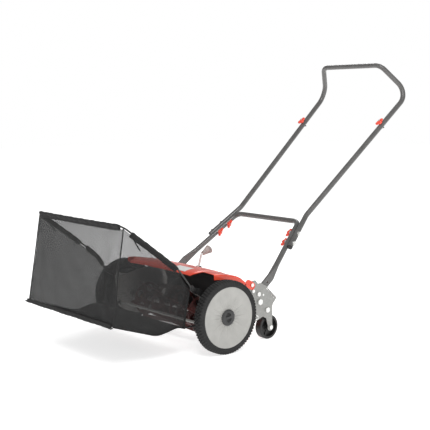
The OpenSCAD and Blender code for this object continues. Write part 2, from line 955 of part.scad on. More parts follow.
// Flattened end of a lower leg, in the plane beside its side plate
module leg_end(s) {
    low = leg_at(s, 258);
    side_slab(s, leg_x - leg_flat_t / 2, leg_x + leg_flat_t / 2)
        difference() {
            union() {
                translate([pivot_y, pivot_z])
                    circle(r = leg_flat_w / 2);
                translate([pivot_y, pivot_z])
                    rotate(leg_slope)
                        translate([0, -leg_flat_w / 2])
                            square([norm([low[1] - pivot_y, low[2] - pivot_z]), leg_flat_w]);
            }
            translate([pivot_y, pivot_z])
                circle(r = pivot_r + run_gap);
            translate([pivot_y, pivot_z] + leg_dir * 58)
                circle(r = 4);
        }
}

module lower_handle() {
    round_y = 300;
    low = leg_at(1, 258);
    color(TUBE)
        difference() {
            union() {
                bent_tube([leg_at(1, round_y), leg_at(1, cross_y), leg_at(-1, cross_y), leg_at(-1, round_y)],
                    [cross_bend, cross_bend], tube_r, bore_r);
                for (s = SIDES) {
                    leg_end(s);
                    hull() {
                        straight(leg_at(s, round_y), leg_at(s, round_y + 2), tube_r - 0.05, 0, $fn = 32);
                        side_slab(s, leg_x - leg_flat_t / 2, leg_x + leg_flat_t / 2)
                            translate([low[1], low[2]])
                                rotate(leg_slope)
                                    translate([-3, -leg_flat_w / 2])
                                        square([2.5, leg_flat_w]);
                    }
                }
            }
            for (s = SIDES)
                for (y = LAP_BOLTS)
                    lap_bar(s, y, -tube_r - 2, tube_r + 2, knob_bolt_d / 2);
        }
}

// Bar along X through the lapped legs at y, from a to b measured outwards from the lower leg
module lap_bar(s, y, a, b, r) {
    p = leg_at(1, y);
    side_bar(s, p[0] + a, p[0] + b, p[1], p[2], r);
}

module middle_leg(s) {
    u = mid_unit(s);
    j = joint_at(s);
    color(TUBE)
        difference() {
            bent_tube([lap_at(s, lap_low_y), lap_at(s, lap_top_y), j + u * joint_lap], [60], tube_r, bore_r);
            for (y = LAP_BOLTS)
                lap_bar(s, y, lap_shift - tube_r - 2, lap_shift + tube_r + 2, knob_bolt_d / 2);
            straight(j - joint_up(s) * (tube_r + 3), j + joint_up(s) * (tube_r + 3), knob_bolt_d / 2, 0);
        }
}

module middle_leg_left() {
    middle_leg(1);
}

module middle_leg_right() {
    middle_leg(-1);
}

// Plastic plugs in the lower ends of the middle legs
module leg_plugs() {
    color("black")
        for (s = SIDES) {
            u = unit(lap_at(s, lap_top_y) - lap_at(s, lap_low_y));
            e = lap_at(s, lap_low_y);
            union() {
                straight(e - u * 4, e, tube_r - 0.4, 0);
                straight(e - u * 1, e + u * 10, bore_r, 0);
            }
        }
}

// Round-headed bolts through the lapped legs, with saddle washers
module lap_bolts() {
    color(ZINC)
        for (s = SIDES)
            for (y = LAP_BOLTS)
                union() {
                    lap_bar(s, y, -low_seat - knob_h - 4, lap_shift + tube_r + 2, knob_bolt_d / 2);
                    difference() {
                        lap_bar(s, y, -low_seat + knob_clear, -tube_r * 0.4, knob_r - 0.5);
                        straight(leg_at(s, y - 30), leg_at(s, y + 30), tube_r, 0);
                    }
                    difference() {
                        lap_bar(s, y, lap_shift + tube_r * 0.4, lap_shift + tube_r + 2.5, 8);
                        straight(lap_at(s, y - 30), lap_at(s, y + 30), tube_r, 0);
                    }
                    lap_bar(s, y, lap_shift + tube_r + 2, lap_shift + tube_r + 5.5, 6);
                }
}

crown = 197;

module upper_handle() {
    u = mid_unit(1);
    top = [grip_w / 2 + 37, grip_y, grip_z];
    path = [
        joint_at(1) + u * joint_lap, joint_at(1) + u * crown, top, [-top[0], top[1], top[2]],
        joint_at(-1) + mid_unit(-1) * crown, joint_at(-1) + mid_unit(-1) * joint_lap
    ];
    color(TUBE)
        difference() {
            union() {
                bent_tube(path, [60, grip_bend, grip_bend, 60], tube_r, bore_r);
                for (s = SIDES)
                    straight(joint_at(s) - mid_unit(s) * 34, joint_at(s) + mid_unit(s) * (joint_lap + 8),
                        bore_r, bore_r - 1.6);
            }
            for (s = SIDES)
                straight(joint_at(s) - joint_up(s) * (tube_r + 3), joint_at(s) + joint_up(s) * (tube_r + 3),
                    knob_bolt_d / 2, 0);
        }
}

module joint_bolts() {
    color(ZINC)
        for (s = SIDES) {
            j = joint_at(s);
            n = joint_up(s);
            union() {
                straight(j - n * (tube_r + 1), j + n * (tube_r + knob_h + 4), knob_bolt_d / 2, 0);
                straight(j - n * (tube_r + 4.5), j - n * (tube_r + 1), 6.5, 0);
            }
        }
}

// Pivot and stop bolts of the lower legs
module handle_bolts() {
    color(ZINC)
        for (s = SIDES) {
            plate_bolt(s, pivot_y, pivot_z, pivot_r, plate_out, leg_x - leg_flat_t / 2 - 2, 15);
            side_hex(s, leg_x - leg_flat_t / 2 - 6, leg_x - leg_flat_t / 2 - 1, pivot_y, pivot_z, 15);
            side_bar(s, leg_x - leg_flat_t / 2 - 1, plate_out + 1.5, STOP[0], STOP[1], stop_r);
        }
}

// Wing knob, with its foot at the origin and its axis along +Z
module wing_knob() {
    wing = 17;
    color(RED)
        difference() {
            union() {
                cylinder(h = knob_h - 3, r = knob_r);
                for (s = SIDES)
                    rotate([0, 0, s > 0 ? 0 : 180]) {
                        translate([0, -2.4, 4])
                            cube([wing - 2.4, 4.8, knob_h - 4]);
                        translate([wing - 2.4, 0, 4])
                            cylinder(h = knob_h - 4, r = 2.4);
                    }
            }
            translate([0, 0, -1])
                cylinder(h = knob_h + 2, r = knob_bolt_d / 2 + run_gap);
        }
}

// Lower knob on the inner side of the lapped legs
module low_knob(s, y) {
    p = leg_at(1, y);
    translate([s * (p[0] - low_seat), p[1], p[2]])
        rotate([0, s > 0 ? -90 : 90, 0])
            rotate([0, 0, s > 0 ? leg_slope : -leg_slope])
                wing_knob();
}

// Upper knob on top of the joint
module top_knob(s) {
    n = joint_up(s);
    translate(joint_at(s) + n * (tube_r + knob_clear))
        rotate([acos(n[2]), 0, 0])
            rotate([0, 0, 64])
                wing_knob();
}

module knob_low_left_front() {
    low_knob(1, LAP_BOLTS[0]);
}

module knob_low_left_back() {
    low_knob(1, LAP_BOLTS[1]);
}

module knob_low_right_front() {
    low_knob(-1, LAP_BOLTS[0]);
}

module knob_low_right_back() {
    low_knob(-1, LAP_BOLTS[1]);
}

module knob_top_left() {
    top_knob(1);
}

module knob_top_right() {
    top_knob(-1);
}

// ---------- catcher ----------

module catcher_frame() {
    pin = [wire_x, pin_y, pin_z];
    elbow_point = [wire_x, elbow_y, elbow_z];
    front = [wire_x, -catcher_reach, catcher_z];
    start = pin + unit(elbow_point - pin) * eye_r;
    color("dimgray")
        union() {
            bent_tube(concat([start, elbow_point, front], flip([front, elbow_point, start], -1)),
                [30, 20, 20, 30], wire_r, 0);
            for (s = SIDES)
                translate([s * wire_x, pin_y, pin_z])
                    rotate([0, 90, 0])
                        rotate_extrude()
                            translate([eye_r, 0])
                                circle(r = wire_r);
        }
}

hook_r = 2.5;
hook_x = panel_x - 12;
cradle_r = rod_r + free_gap + hook_r;

// Wire hooks that rest against the front rod
module catcher_hooks() {
    color("dimgray")
        for (s = SIDES)
            translate([s * hook_x, 0, 0])
                union() {
                    translate([0, rod_y, rod_z])
                        rotate([90, 0, 90])
                            rotate_extrude(angle = 130, start = 130)
                                translate([cradle_r, 0])
                                    circle(r = hook_r);
                    straight([0, rod_y - cradle_r, rod_z], [0, mouth_y - 10, panel_low - 47], hook_r, 0);
                    translate([0, rod_y - cradle_r - 16, rod_z - 9])
                        rotate([0, 90, 0])
                            rotate_extrude()
                                translate([8, 0])
                                    circle(r = hook_r - 0.3);
                }
}

module bag_front() {
    color(CLOTH)
        slab(-panel_x, panel_x)
            polygon([[-catcher_reach, panel_top], [-catcher_reach + fabric_t, panel_top],
                [panel_low_y + fabric_t, panel_low + 4], [panel_low_y, panel_low + 4]]);
}

module bag_sides() {
    lift = [0, fabric_t + 1];
    back = [for (i = [len(FLOOR) - 1 : -1 : 1]) FLOOR[i] + lift];
    color(CLOTH)
        for (s = SIDES)
            side_slab(s, panel_x - fabric_t, panel_x)
                polygon(concat(
                    [
                        [panel_low_y + fabric_t + 3, panel_low + 4],
                        [-catcher_reach + fabric_t + 3, panel_top - 6],
                        [elbow_y + 3, elbow_z - 12], [mouth_y - 18, pin_z + 6]
                    ],
                    back
                ));
}

module bag_floor() {
    color(CLOTH)
        slab(-panel_x, panel_x)
            polygon(sheet_outline(FLOOR, fabric_t));
}

// Stiffener in the front lower hem
module bag_rod() {
    color("dimgray")
        bar(-panel_x - 48, panel_x + 4, panel_low_y - 4.5, panel_low, 3);
}

// ---------- hand lever on the cover ----------

lever_foot = (COVER[5] + COVER[6]) / 2;
lever_up = side_way([COVER[5], COVER[6]], 0);
lever_along = unit(COVER[6] - COVER[5]);
lever_pin = lever_foot + lever_up * 13;

function on_lever(a, b) = lever_foot + lever_along * a + lever_up * b;

module lever_base() {
    foot = cover_t / 2;
    color("black")
        union() {
            slab(-26, 26)
                polygon([
                    on_lever(-15, foot), on_lever(15, foot), on_lever(15, foot + 3), on_lever(-15, foot + 3)
                ]);
            for (s = SIDES)
                side_slab(s, 7, 10)
                    union() {
                        polygon([
                            on_lever(-7, foot + 2), on_lever(7, foot + 2), on_lever(7, 13), on_lever(-7, 13)
                        ]);
                        translate(lever_pin)
                            circle(r = 7);
                    }
            bar(-12, 12, lever_pin[0], lever_pin[1], 3);
        }
}

lever_knee = lever_pin + [12, 46];
lever_tip = lever_knee + [12, 6];
grip_dir = unit([38, 17]);

module hand_lever() {
    color("lightgray")
        difference() {
            union() {
                bar(-6, 6, lever_pin[0], lever_pin[1], 6);
                straight([0, lever_pin[0], lever_pin[1] + 3], [0, lever_knee[0], lever_knee[1]], 4, 0);
                translate([0, lever_knee[0], lever_knee[1]])
                    sphere(r = 4);
                straight([0, lever_knee[0], lever_knee[1]],
                    [0, lever_tip[0] + 8 * grip_dir[0], lever_tip[1] + 8 * grip_dir[1]], 4, 0);
            }
            bar(-13, 13, lever_pin[0], lever_pin[1], 3 + run_gap);
        }
}

// Ribbed grip that widens towards its domed end
module lever_grip() {
    ribs = 5;
    color("rosybrown")
        translate([0, lever_tip[0], lever_tip[1]])
            rotate([-acos(grip_dir[1]), 0, 0])
                difference() {
                    rotate_extrude()
                        polygon(concat(
                            [[0, 0], [6, 0]],
                            [for (i = [0 : ribs - 1]) for (k = [0 : 1])
                                [6.5 + i * 1.1 + (k == 0 ? 1.2 : 0), 2 + i * 6 + k * 4]],
                            [[11, 31], [8, 34.5], [0, 36]]
                        ));
                    translate([0, 0, -1])
                        cylinder(h = 9, r = 4);
                }
}

side_plate_left();
side_plate_right();
reel_cover();
cover_bolts();
front_rod();
rear_stay();
frame_nuts();
bed_bar();
bed_knife();
bed_screws();
reel_bearings();
axle_left();
axle_right();
axle_clips();
gear_case_left();
gear_case_right();
catcher_brackets();
bracket_pads();
handle_bolts();
arm_bolts();
lever_base();
tyre_left();
wheel_left();
hub_cap_left();
tyre_right();
wheel_right();
hub_cap_right();
pinion_left();
pinion_right();
reel_shaft();
reel_spiders();
reel_blades();
drive_pawls();
rear_arm_left();
rear_arm_right();
rear_axle_left();
rear_axle_right();
rear_wheel_left();
rear_wheel_right();
lower_handle();
middle_leg_left();
middle_leg_right();
leg_plugs();
lap_bolts();
upper_handle();
joint_bolts();
knob_low_left_front();
knob_low_left_back();
knob_low_right_front();
knob_low_right_back();
knob_top_left();
knob_top_right();
catcher_frame();
catcher_hooks();
bag_front();
bag_sides();
bag_floor();
bag_rod();
hand_lever();
lever_grip();
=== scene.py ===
"""Looks of a hand-pushed reel mower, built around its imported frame.

Lengths in the classes are millimetres, in the mower's own frame: +Z up, X across the machine,
-Y the direction of travel, and the origin on the ground midway between the main wheels.
"""

import json
import logging
import math
from collections.abc import Iterator
from contextlib import contextmanager
from dataclasses import dataclass, field
from enum import Enum
from typing import ClassVar, Optional

import bmesh
import bpy
import numpy as np
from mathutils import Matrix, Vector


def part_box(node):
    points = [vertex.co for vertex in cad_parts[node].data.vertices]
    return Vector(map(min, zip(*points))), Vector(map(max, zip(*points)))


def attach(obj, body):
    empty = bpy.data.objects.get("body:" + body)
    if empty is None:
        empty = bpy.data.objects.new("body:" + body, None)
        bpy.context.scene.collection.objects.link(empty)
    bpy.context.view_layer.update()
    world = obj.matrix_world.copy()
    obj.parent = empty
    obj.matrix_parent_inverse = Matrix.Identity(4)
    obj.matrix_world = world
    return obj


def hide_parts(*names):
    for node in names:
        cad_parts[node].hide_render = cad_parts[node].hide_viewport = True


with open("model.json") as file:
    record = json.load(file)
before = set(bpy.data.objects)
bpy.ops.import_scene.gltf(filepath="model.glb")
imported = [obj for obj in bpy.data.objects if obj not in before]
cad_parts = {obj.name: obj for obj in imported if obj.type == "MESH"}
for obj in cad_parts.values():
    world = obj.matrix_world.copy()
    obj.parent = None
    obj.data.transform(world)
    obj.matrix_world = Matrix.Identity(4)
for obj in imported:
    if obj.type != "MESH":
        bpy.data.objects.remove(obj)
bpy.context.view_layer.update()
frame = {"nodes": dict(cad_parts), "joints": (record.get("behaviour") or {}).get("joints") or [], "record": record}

LOG = logging.getLogger("reel_mower")
MM = 0.001
TAU = 2.0 * math.pi
MERGE_DISTANCE = 0.00002
SLIVER_LENGTH = 0.00001
SHARP_ANGLE = math.radians(38)
UP = np.array([0.0, 0.0, 1.0])
BACK = np.array([0.0, 1.0, 0.0])
DUST = (0.42, 0.40, 0.36)
Colour = tuple[float, float, float]
Array = np.ndarray
Piece = bpy.types.Object
Socket = bpy.types.NodeSocket


class Side(Enum):
    """The two sides of the machine. LEFT is the operator's left, at +X."""

    LEFT = 1
    RIGHT = -1

    @property
    def word(self) -> str:
        """The side's name, as the nodes spell it."""
        return self.name.lower()


# ---- arrays ----


def smoothstep(low: float, high: float, value: Array) -> Array:
    """Rises smoothly from 0 at low to 1 at high: t * t * (3 - 2 t)."""
    t = np.clip((value - low) / (high - low), 0.0, 1.0)
    return t * t * (3.0 - 2.0 * t)


def unit(vectors: Array) -> Array:
    """Vectors along the last axis, divided by their lengths."""
    return vectors / np.linalg.norm(vectors, axis=-1, keepdims=True)


def turns(count: int) -> Array:
    """The angles of a full turn in equal steps, starting at 0."""
    return np.linspace(0.0, TAU, count, endpoint=False)


def angle_from(t: Array, turn: float) -> Array:
    """Angles measured from turn, between -pi and pi."""
    return (t - turn + math.pi) % TAU - math.pi


def hill(value: Array, centre: float, width: float, power: int = 2) -> Array:
    """A smooth hill of height 1: exp(-((value - centre) / width)^power)."""
    return np.exp(-(((value - centre) / width) ** power))


def stacked(*parts: Array) -> Array:
    """Arrays broadcast together and stacked on a new last axis."""
    return np.stack(np.broadcast_arrays(*parts), axis=-1)


def run_of(points: Array) -> Array:
    """Length along a polyline up to each of its points."""
    return np.concatenate([[0.0], np.cumsum(np.linalg.norm(np.diff(points, axis=0), axis=1))])


def at_shares(line: Array, shares: Array) -> Array:
    """Points of a line at shares of its evenly spaced points, one row each."""
    even = np.linspace(0.0, 1.0, len(line))
    return np.column_stack([np.interp(shares, even, column) for column in line.T])


def beside(line: Array, gap: float) -> Array:
    """A line in a plane, moved by gap to the left of its own direction."""
    slope = unit(np.gradient(line, axis=0))
    return line + gap * np.stack([-slope[:, 1], slope[:, 0]], axis=1)


def spline(points: Array, count: int) -> Array:
    """A Catmull-Rom curve through points.

    Each span is the cubic (2 b + (c - a) t + (2a - 5b + 4c - d) t^2 + (3b - a - 3c + d) t^3) / 2
    between its inner points b and c.

    Args:
        points: The points that the curve passes through, one row each.
        count: How many rows the result has, evenly spaced along the curve.

    Returns:
        The curve's points.
    """
    p = np.asarray(points, float)
    ends = np.vstack([2 * p[0] - p[1], p, 2 * p[-1] - p[-2]])
    s = np.linspace(0, len(p) - 1, 24 * len(p))
    i = np.minimum(s.astype(int), len(p) - 2)
    t = (s - i)[:, None]
    a, b, c, d = ends[i], ends[i + 1], ends[i + 2], ends[i + 3]
    square, cube = 2 * a - 5 * b + 4 * c - d, 3 * b - a - 3 * c + d
    return resample((2 * b + (c - a) * t + square * t**2 + cube * t**3) / 2, count)


def resample(points: Array, count: int) -> Array:
    """Points evenly spaced by length along a polyline.

    Args:
        points: The polyline, one row for each point.
        count: How many points the result has.

    Returns:
        The new points, the first and last unchanged.
    """
    p = np.asarray(points, float)
    run = run_of(p)
    at = np.linspace(0.0, run[-1], count)
    return np.stack([np.interp(at, run, p[:, k]) for k in range(p.shape[1])], axis=1)


def ridges(a: Array, b: Array, lines: list[tuple[float, ...]]) -> Array:
    """Height of cloth folds that lie along straight lines.

    A fold adds height * exp(-(d / width)^2) at distance d from its line, and fades towards
    the line's second end as 1 - 0.7 t.

    Args:
        a: First coordinate of every point of the sheet.
        b: Second coordinate of every point.
        lines: One (a0, b0, a1, b1, width, height) for each fold.

    Returns:
        The height at every point.
    """
    total = np.zeros_like(a)
    for a0, b0, a1, b1, width, height in lines:
        da, db = a1 - a0, b1 - b0
        t = np.clip(((a - a0) * da + (b - b0) * db) / (da * da + db * db), 0.0, 1.0)
        d = np.hypot(a - a0 - t * da, b - b0 - t * db)
        total += height * hill(d, 0.0, width) * (1.0 - 0.7 * t)
    return total


def arch(share: Array, power: float) -> Array:
    """Rises from 0 to 1 and falls back as share goes from 0 to 1: sin(pi share)^power."""
    return np.clip(np.sin(math.pi * share), 0, 1) ** power


def ripple(a: Array, b: Array, size: float) -> Array:
    """Small uneven waves of cloth: three crossed sines of unlike lengths, from about -1 to 1."""
    return (
        np.sin(a / size + 1.3 * np.sin(b / (2.1 * size)))
        + np.sin(b / (0.83 * size) + 0.9 * np.sin(a / (1.7 * size)) + 1.1)
        + np.sin((a + b) / (1.31 * size) + 2.3)
    ) / 3.0


# ---- meshes ----


def placed(name: str, data: bpy.types.ID) -> Piece:
    """A new object in the scene that holds the data."""
    obj = bpy.data.objects.new(name, data)
    bpy.context.scene.collection.objects.link(obj)
    return obj


@contextmanager
def edited(mesh: bpy.types.Mesh) -> Iterator[bmesh.types.BMesh]:
    """Opens a mesh for editing and writes the result back into it."""
    form = bmesh.new()
    form.from_mesh(mesh)
    yield form
    form.to_mesh(mesh)
    form.free()


def mesh_object(name: str, points: Array, faces: Array, uv: Optional[Array] = None) -> Piece:
    """Puts arrays into a new smooth-shaded mesh object.

    Args:
        name: The piece's name.
        points: One row of three millimetres for each vertex.
        faces: One row of vertex numbers for each face, all with the same count.
        uv: One row of two metres for each vertex, or None.

    Returns:
        The object, at the origin.
    """
    mesh = bpy.data.meshes.new(name)
    sides = faces.shape[1]
    mesh.vertices.add(len(points))
    mesh.vertices.foreach_set("co", (points * MM).astype(np.float32).ravel())
    mesh.loops.add(faces.size)
    mesh.loops.foreach_set("vertex_index", faces.astype(np.int32).ravel())
    mesh.polygons.add(len(faces))
    mesh.polygons.foreach_set("loop_start", np.arange(0, faces.size, sides, dtype=np.int32))
    mesh.polygons.foreach_set("use_smooth", np.ones(len(faces), bool))
    if uv is not None:
        layer = mesh.uv_layers.new(name="Cloth")
        layer.data.foreach_set("uv", uv[faces.ravel()].astype(np.float32).ravel())
    mesh.update(calc_edges=True)
    mesh.validate()
    return placed(name, mesh)


def grid_faces(rows: int, columns: int, wrap_rows: bool, wrap_columns: bool) -> Array:
    """Quads of a grid whose vertices are numbered row by row.

    Args:
        rows: Number of rows of vertices.
        columns: Number of vertices in each row.
        wrap_rows: Joins the last row to the first.
        wrap_columns: Joins the last column to the first.

    Returns:
        One row of four vertex numbers for each quad.
    """
    i, j = np.meshgrid(
        np.arange(rows if wrap_rows else rows - 1),
        np.arange(columns if wrap_columns else columns - 1),
        indexing="ij",
    )
    n, m = (i + 1) % rows, (j + 1) % columns
    quads = np.stack([i * columns + j, n * columns + j, n * columns + m, i * columns + m], axis=-1)
    return quads.reshape(-1, 4)


def grid_object(
    name: str,
    points: Array,
    wrap_rows: bool = False,
    wrap_columns: bool = False,
    uv: Optional[Array] = None,
) -> Piece:
    """A mesh object from a grid of points.

    Args:
        name: The piece's name.
        points: Rows by columns by three, in millimetres.
        wrap_rows: Joins the last row to the first.
        wrap_columns: Joins the last column to the first.
        uv: Rows by columns by two, in metres, or None.

    Returns:
        The object.
    """
    rows, columns = points.shape[:2]
    faces = grid_faces(rows, columns, wrap_rows, wrap_columns)
    flat_uv = None if uv is None else uv.reshape(-1, 2)
    return mesh_object(name, points.reshape(-1, 3), faces, flat_uv)


def closed(obj: Piece) -> Piece:
    """Merges doubled vertices, as at seams and poles, fills end loops and turns faces outwards.

    Args:
        obj: The piece.

    Returns:
        The same piece.
    """
    with edited(obj.data) as form:
        bmesh.ops.remove_doubles(form, verts=form.verts, dist=MERGE_DISTANCE)
        bmesh.ops.dissolve_degenerate(form, dist=SLIVER_LENGTH, edges=form.edges)
        open_edges = [e for e in form.edges if e.is_boundary]
        if open_edges:
            bmesh.ops.holes_fill(form, edges=open_edges, sides=0)
        bmesh.ops.recalc_face_normals(form, faces=form.faces)
    return obj


def joined(name: str, parts: list[Piece]) -> Piece:
    """One piece made of several meshes.

    Args:
        name: The new piece's name.
        parts: The pieces that are merged and removed.

    Returns:
        The new piece.
    """
    form = bmesh.new()
    for part in parts:
        form.from_mesh(part.data)
    mesh = bpy.data.meshes.new(name)
    form.to_mesh(mesh)
    form.free()
    for part in parts:
        bpy.data.objects.remove(part)
    return placed(name, mesh)


def tube(name: str, path: Array, section: Array, up: Array, uv: Array) -> Piece:
    """A closed piece made by carrying a section along a path.

    At each path point the section's first coordinate runs along the path's side, which is the
    cross product of the path's direction and up, and its second along the direction square to both.

    Args:
        name: The piece's name.
        path: Points of the path, one row each.
        section: Section points, columns by two, or path rows by columns by two.
        up: A vector that the path is never parallel to.
        uv: Path rows by columns by two, in millimetres of cloth.

    Returns:
        The piece.
    """
    along = unit(np.gradient(path, axis=0))
    side = unit(np.cross(along, np.broadcast_to(up, along.shape)))
    rise = np.cross(side, along)
    s = section if section.ndim == 3 else np.broadcast_to(section, (len(path), *section.shape))
    points = path[:, None] + s[..., :1] * side[:, None] + s[..., 1:] * rise[:, None]
    return closed(grid_object(name, points, False, True, uv * MM))


def solidify(obj: Piece, thickness: float, offset: float = 0.0) -> Piece:
    """Gives a sheet its thickness, in millimetres, with a Solidify modifier."""
    wall = obj.modifiers.new("Thickness", "SOLIDIFY")
    wall.thickness = thickness * MM
    wall.offset = offset
    return obj


def bevelled(obj: Piece, width: float, segments: int = 2) -> Piece:
    """Rounds a piece's sharp edges, in millimetres, with a Bevel modifier."""
    edge = obj.modifiers.new("Edges", "BEVEL")
    edge.width = width * MM
    edge.segments = segments
    edge.limit_method = "ANGLE"
    edge.angle_limit = SHARP_ANGLE
    return obj


# ---- materials ----


class Graph:
    """Builds one material's nodes around its Principled shader."""

    def __init__(self, name: str) -> None:
        """Starts a material with that name."""
        self.material = bpy.data.materials.new(name)
        self.material.use_nodes = True
        self.tree = self.material.node_tree
        self.shader = self.tree.nodes["Principled BSDF"]
        self.coords = self.tree.nodes.new("ShaderNodeTexCoord")

    def add(self, kind: str, inputs: dict, **settings: object) -> bpy.types.Node:
        """Adds a node.

        Args:
            kind: The node's type.
            inputs: Input name or number to a value, or to a socket that is linked.
            settings: Properties of the node.

        Returns:
            The node.
        """
        node = self.tree.nodes.new(kind)
        for key, value in settings.items():
            setattr(node, key, value)
        for key, value in inputs.items():
            self.put(node.inputs[key], value)
        return node

    def put(self, socket: Socket, value: object) -> None:
        """Sets a socket's value, or links another socket to it."""
        if isinstance(value, Socket):
            self.tree.links.new(value, socket)
        else:
            socket.default_value = value

    def set(self, **values: object) -> None:
        """Sets shader inputs. Base_Color stands for the input Base Color, and so on."""
        for key, value in values.items():
            self.put(self.shader.inputs[key.replace("_", " ")], value)

    @property
    def place(self) -> Socket:
        """The Object coordinates, in metres."""
        return self.coords.outputs["Object"]

    def noise(self, scale: float, detail: float = 3.0, rough: float = 0.55) -> Socket:
        """Noise on Object coordinates, from 0 to 1, with scale features in a metre."""
        inputs = {"Vector": self.place, "Scale": scale, "Detail": detail, "Roughness": rough}
        return self.add("ShaderNodeTexNoise", inputs).outputs["Fac"]

    def patches(self, noise: tuple, low: float, high: float, most: float = 1.0) -> Socket:
        """Noise with those settings, stretched so that low..high spans 0..most."""
        return self.span(self.noise(*noise), low, high, 0.0, most)

    def cells(self, scale: float, feature: str = "F1", output: str = "Color") -> Socket:
        """Voronoi cells on Object coordinates."""
        inputs = {"Vector": self.place, "Scale": scale}
        return self.add("ShaderNodeTexVoronoi", inputs, feature=feature).outputs[output]

    def span(
        self, value: object, low: float, high: float, to: float = 0.0, top: float = 1.0
    ) -> Socket:
        """Maps low..high to to..top, clamped."""
        inputs = {"Value": value, "From Min": low, "From Max": high, "To Min": to, "To Max": top}
        return self.add("ShaderNodeMapRange", inputs).outputs["Result"]

    def maths(self, operation: str, first: object, second: object = 0.0) -> Socket:
        """One arithmetic step."""
        return self.add("ShaderNodeMath", {0: first, 1: second}, operation=operation).outputs[0]

    def mix(self, share: object, first: object, second: object) -> Socket:
        """Mixes two colours."""
        pair = [(*c, 1.0) if isinstance(c, tuple) else c for c in (first, second)]
        inputs = {0: share, 6: pair[0], 7: pair[1]}
        return self.add("ShaderNodeMix", inputs, data_type="RGBA").outputs[2]

    def bump(
        self, height: object, distance: float, strength: float, under: Optional[Socket] = None
    ) -> Socket:
        """Raises the surface by height times distance millimetres, over another bump if given."""
        inputs = {"Height": height, "Distance": distance * MM, "Strength": strength}
        if under is not None:
            inputs["Normal"] = under
        return self.add("ShaderNodeBump", inputs).outputs["Normal"]


@dataclass(frozen=True)
class Finish:
    """A surface finish. Subclasses say how it is made."""

    name: str
    colour: Colour

    def build(self) -> bpy.types.Material:
        """Makes the material."""
        raise NotImplementedError

    def shade(self, factor: float) -> Colour:
        """The finish's colour times factor."""
        return tuple(min(1.0, c * factor) for c in self.colour)


@dataclass(frozen=True)
class Paint(Finish):
    """Stoved paint on steel: fine orange peel, faint dust and small specks."""

    rough: float = 0.35
    coat: float = 0.2
    dust: float = 0.12

    def build(self) -> bpy.types.Material:
        """Makes the material."""
        g = Graph(self.name)
        broad = g.patches((22.0, 4.0), 0.3, 0.7)
        base = g.mix(broad, self.shade(0.86), self.shade(1.12))
        dusty = g.patches((70.0, 6.0, 0.7), 0.55, 0.8, self.dust)
        base = g.mix(dusty, base, DUST)
        specks = g.patches((900.0, 2.0), 0.72, 0.8, 0.35)
        base = g.mix(specks, base, self.shade(0.45))
        rough = g.span(broad, 0.0, 1.0, self.rough - 0.05, self.rough + 0.09)
        g.set(Base_Color=base, Roughness=rough)
        peel = g.bump(g.noise(650.0, 2.0), 0.05, 0.5)
        g.set(Normal=peel, Coat_Weight=self.coat, Coat_Roughness=0.12)
        return g.material


@dataclass(frozen=True)
class Galvanised(Finish):
    """Hot-dipped steel: crystal spangle of unlike greys, with faint rolling lines."""

    spangle: float = 150.0

    def build(self) -> bpy.types.Material:
        """Makes the material."""
        g = Graph(self.name)
        cell = g.add("ShaderNodeSeparateColor", {0: g.cells(self.spangle)}).outputs[0]
        blotch = g.noise(35.0, 5.0)
        base = g.mix(g.span(cell, 0.0, 1.0, 0.15, 0.85), self.shade(0.8), self.shade(1.12))
        base = g.mix(g.span(blotch, 0.45, 0.75, 0.0, 0.4), base, self.shade(0.72))
        rim = g.cells(self.spangle, "DISTANCE_TO_EDGE", "Distance")
        edge = g.span(rim, 0.0, 0.06)
        g.set(Base_Color=base, Metallic=0.55)
        g.set(Roughness=g.span(cell, 0.0, 1.0, 0.38, 0.58))
        fine = g.bump(g.noise(1400.0, 3.0), 0.03, 0.4)
        g.set(Normal=g.bump(edge, 0.02, 0.5, fine))
        return g.material


@dataclass(frozen=True)
class Metal(Finish):
    """Plated, machined or sintered metal with fine tool marks and handling marks."""

    rough: float = 0.25
    metallic: float = 1.0
    grain: float = 900.0

    def build(self) -> bpy.types.Material:
        """Makes the material."""
        g = Graph(self.name)
        drawn = {"Vector": g.place, "Scale": (0.25, 1.0, 1.0)}
        stretch = g.add("ShaderNodeMapping", drawn).outputs[0]
        marks_in = {"Vector": stretch, "Scale": self.grain, "Detail": 3.0}
        lines = g.add("ShaderNodeTexNoise", marks_in).outputs["Fac"]
        marks = g.patches((120.0, 5.0, 0.7), 0.35, 0.7)
        g.set(Base_Color=g.mix(marks, self.shade(0.8), self.shade(1.08)), Metallic=self.metallic)
        g.set(Roughness=g.span(marks, 0.0, 1.0, self.rough, self.rough + 0.16))
        g.set(Normal=g.bump(lines, 0.03, 0.5))
        return g.material


@dataclass(frozen=True)
class Moulded(Finish):
    """Moulded plastic with a spark-eroded grain and slight colour drift."""

    rough: float = 0.5
    grain: float = 1500.0
    depth: float = 0.05
    coat: float = 0.0

    def build(self) -> bpy.types.Material:
        """Makes the material."""
        g = Graph(self.name)
        drift = g.patches((28.0, 3.0), 0.3, 0.7)
        base = g.mix(drift, self.shade(0.92), self.shade(1.07))
        scuffs = g.patches((260.0, 6.0, 0.75), 0.62, 0.78, 0.18)
        base = g.mix(scuffs, base, tuple(0.5 * c + 0.22 for c in self.colour))
        g.set(Base_Color=base, Roughness=g.span(drift, 0.0, 1.0, self.rough, self.rough + 0.1))
        g.set(Normal=g.bump(g.noise(self.grain, 2.0), self.depth, 0.6), Coat_Weight=self.coat)
        return g.material


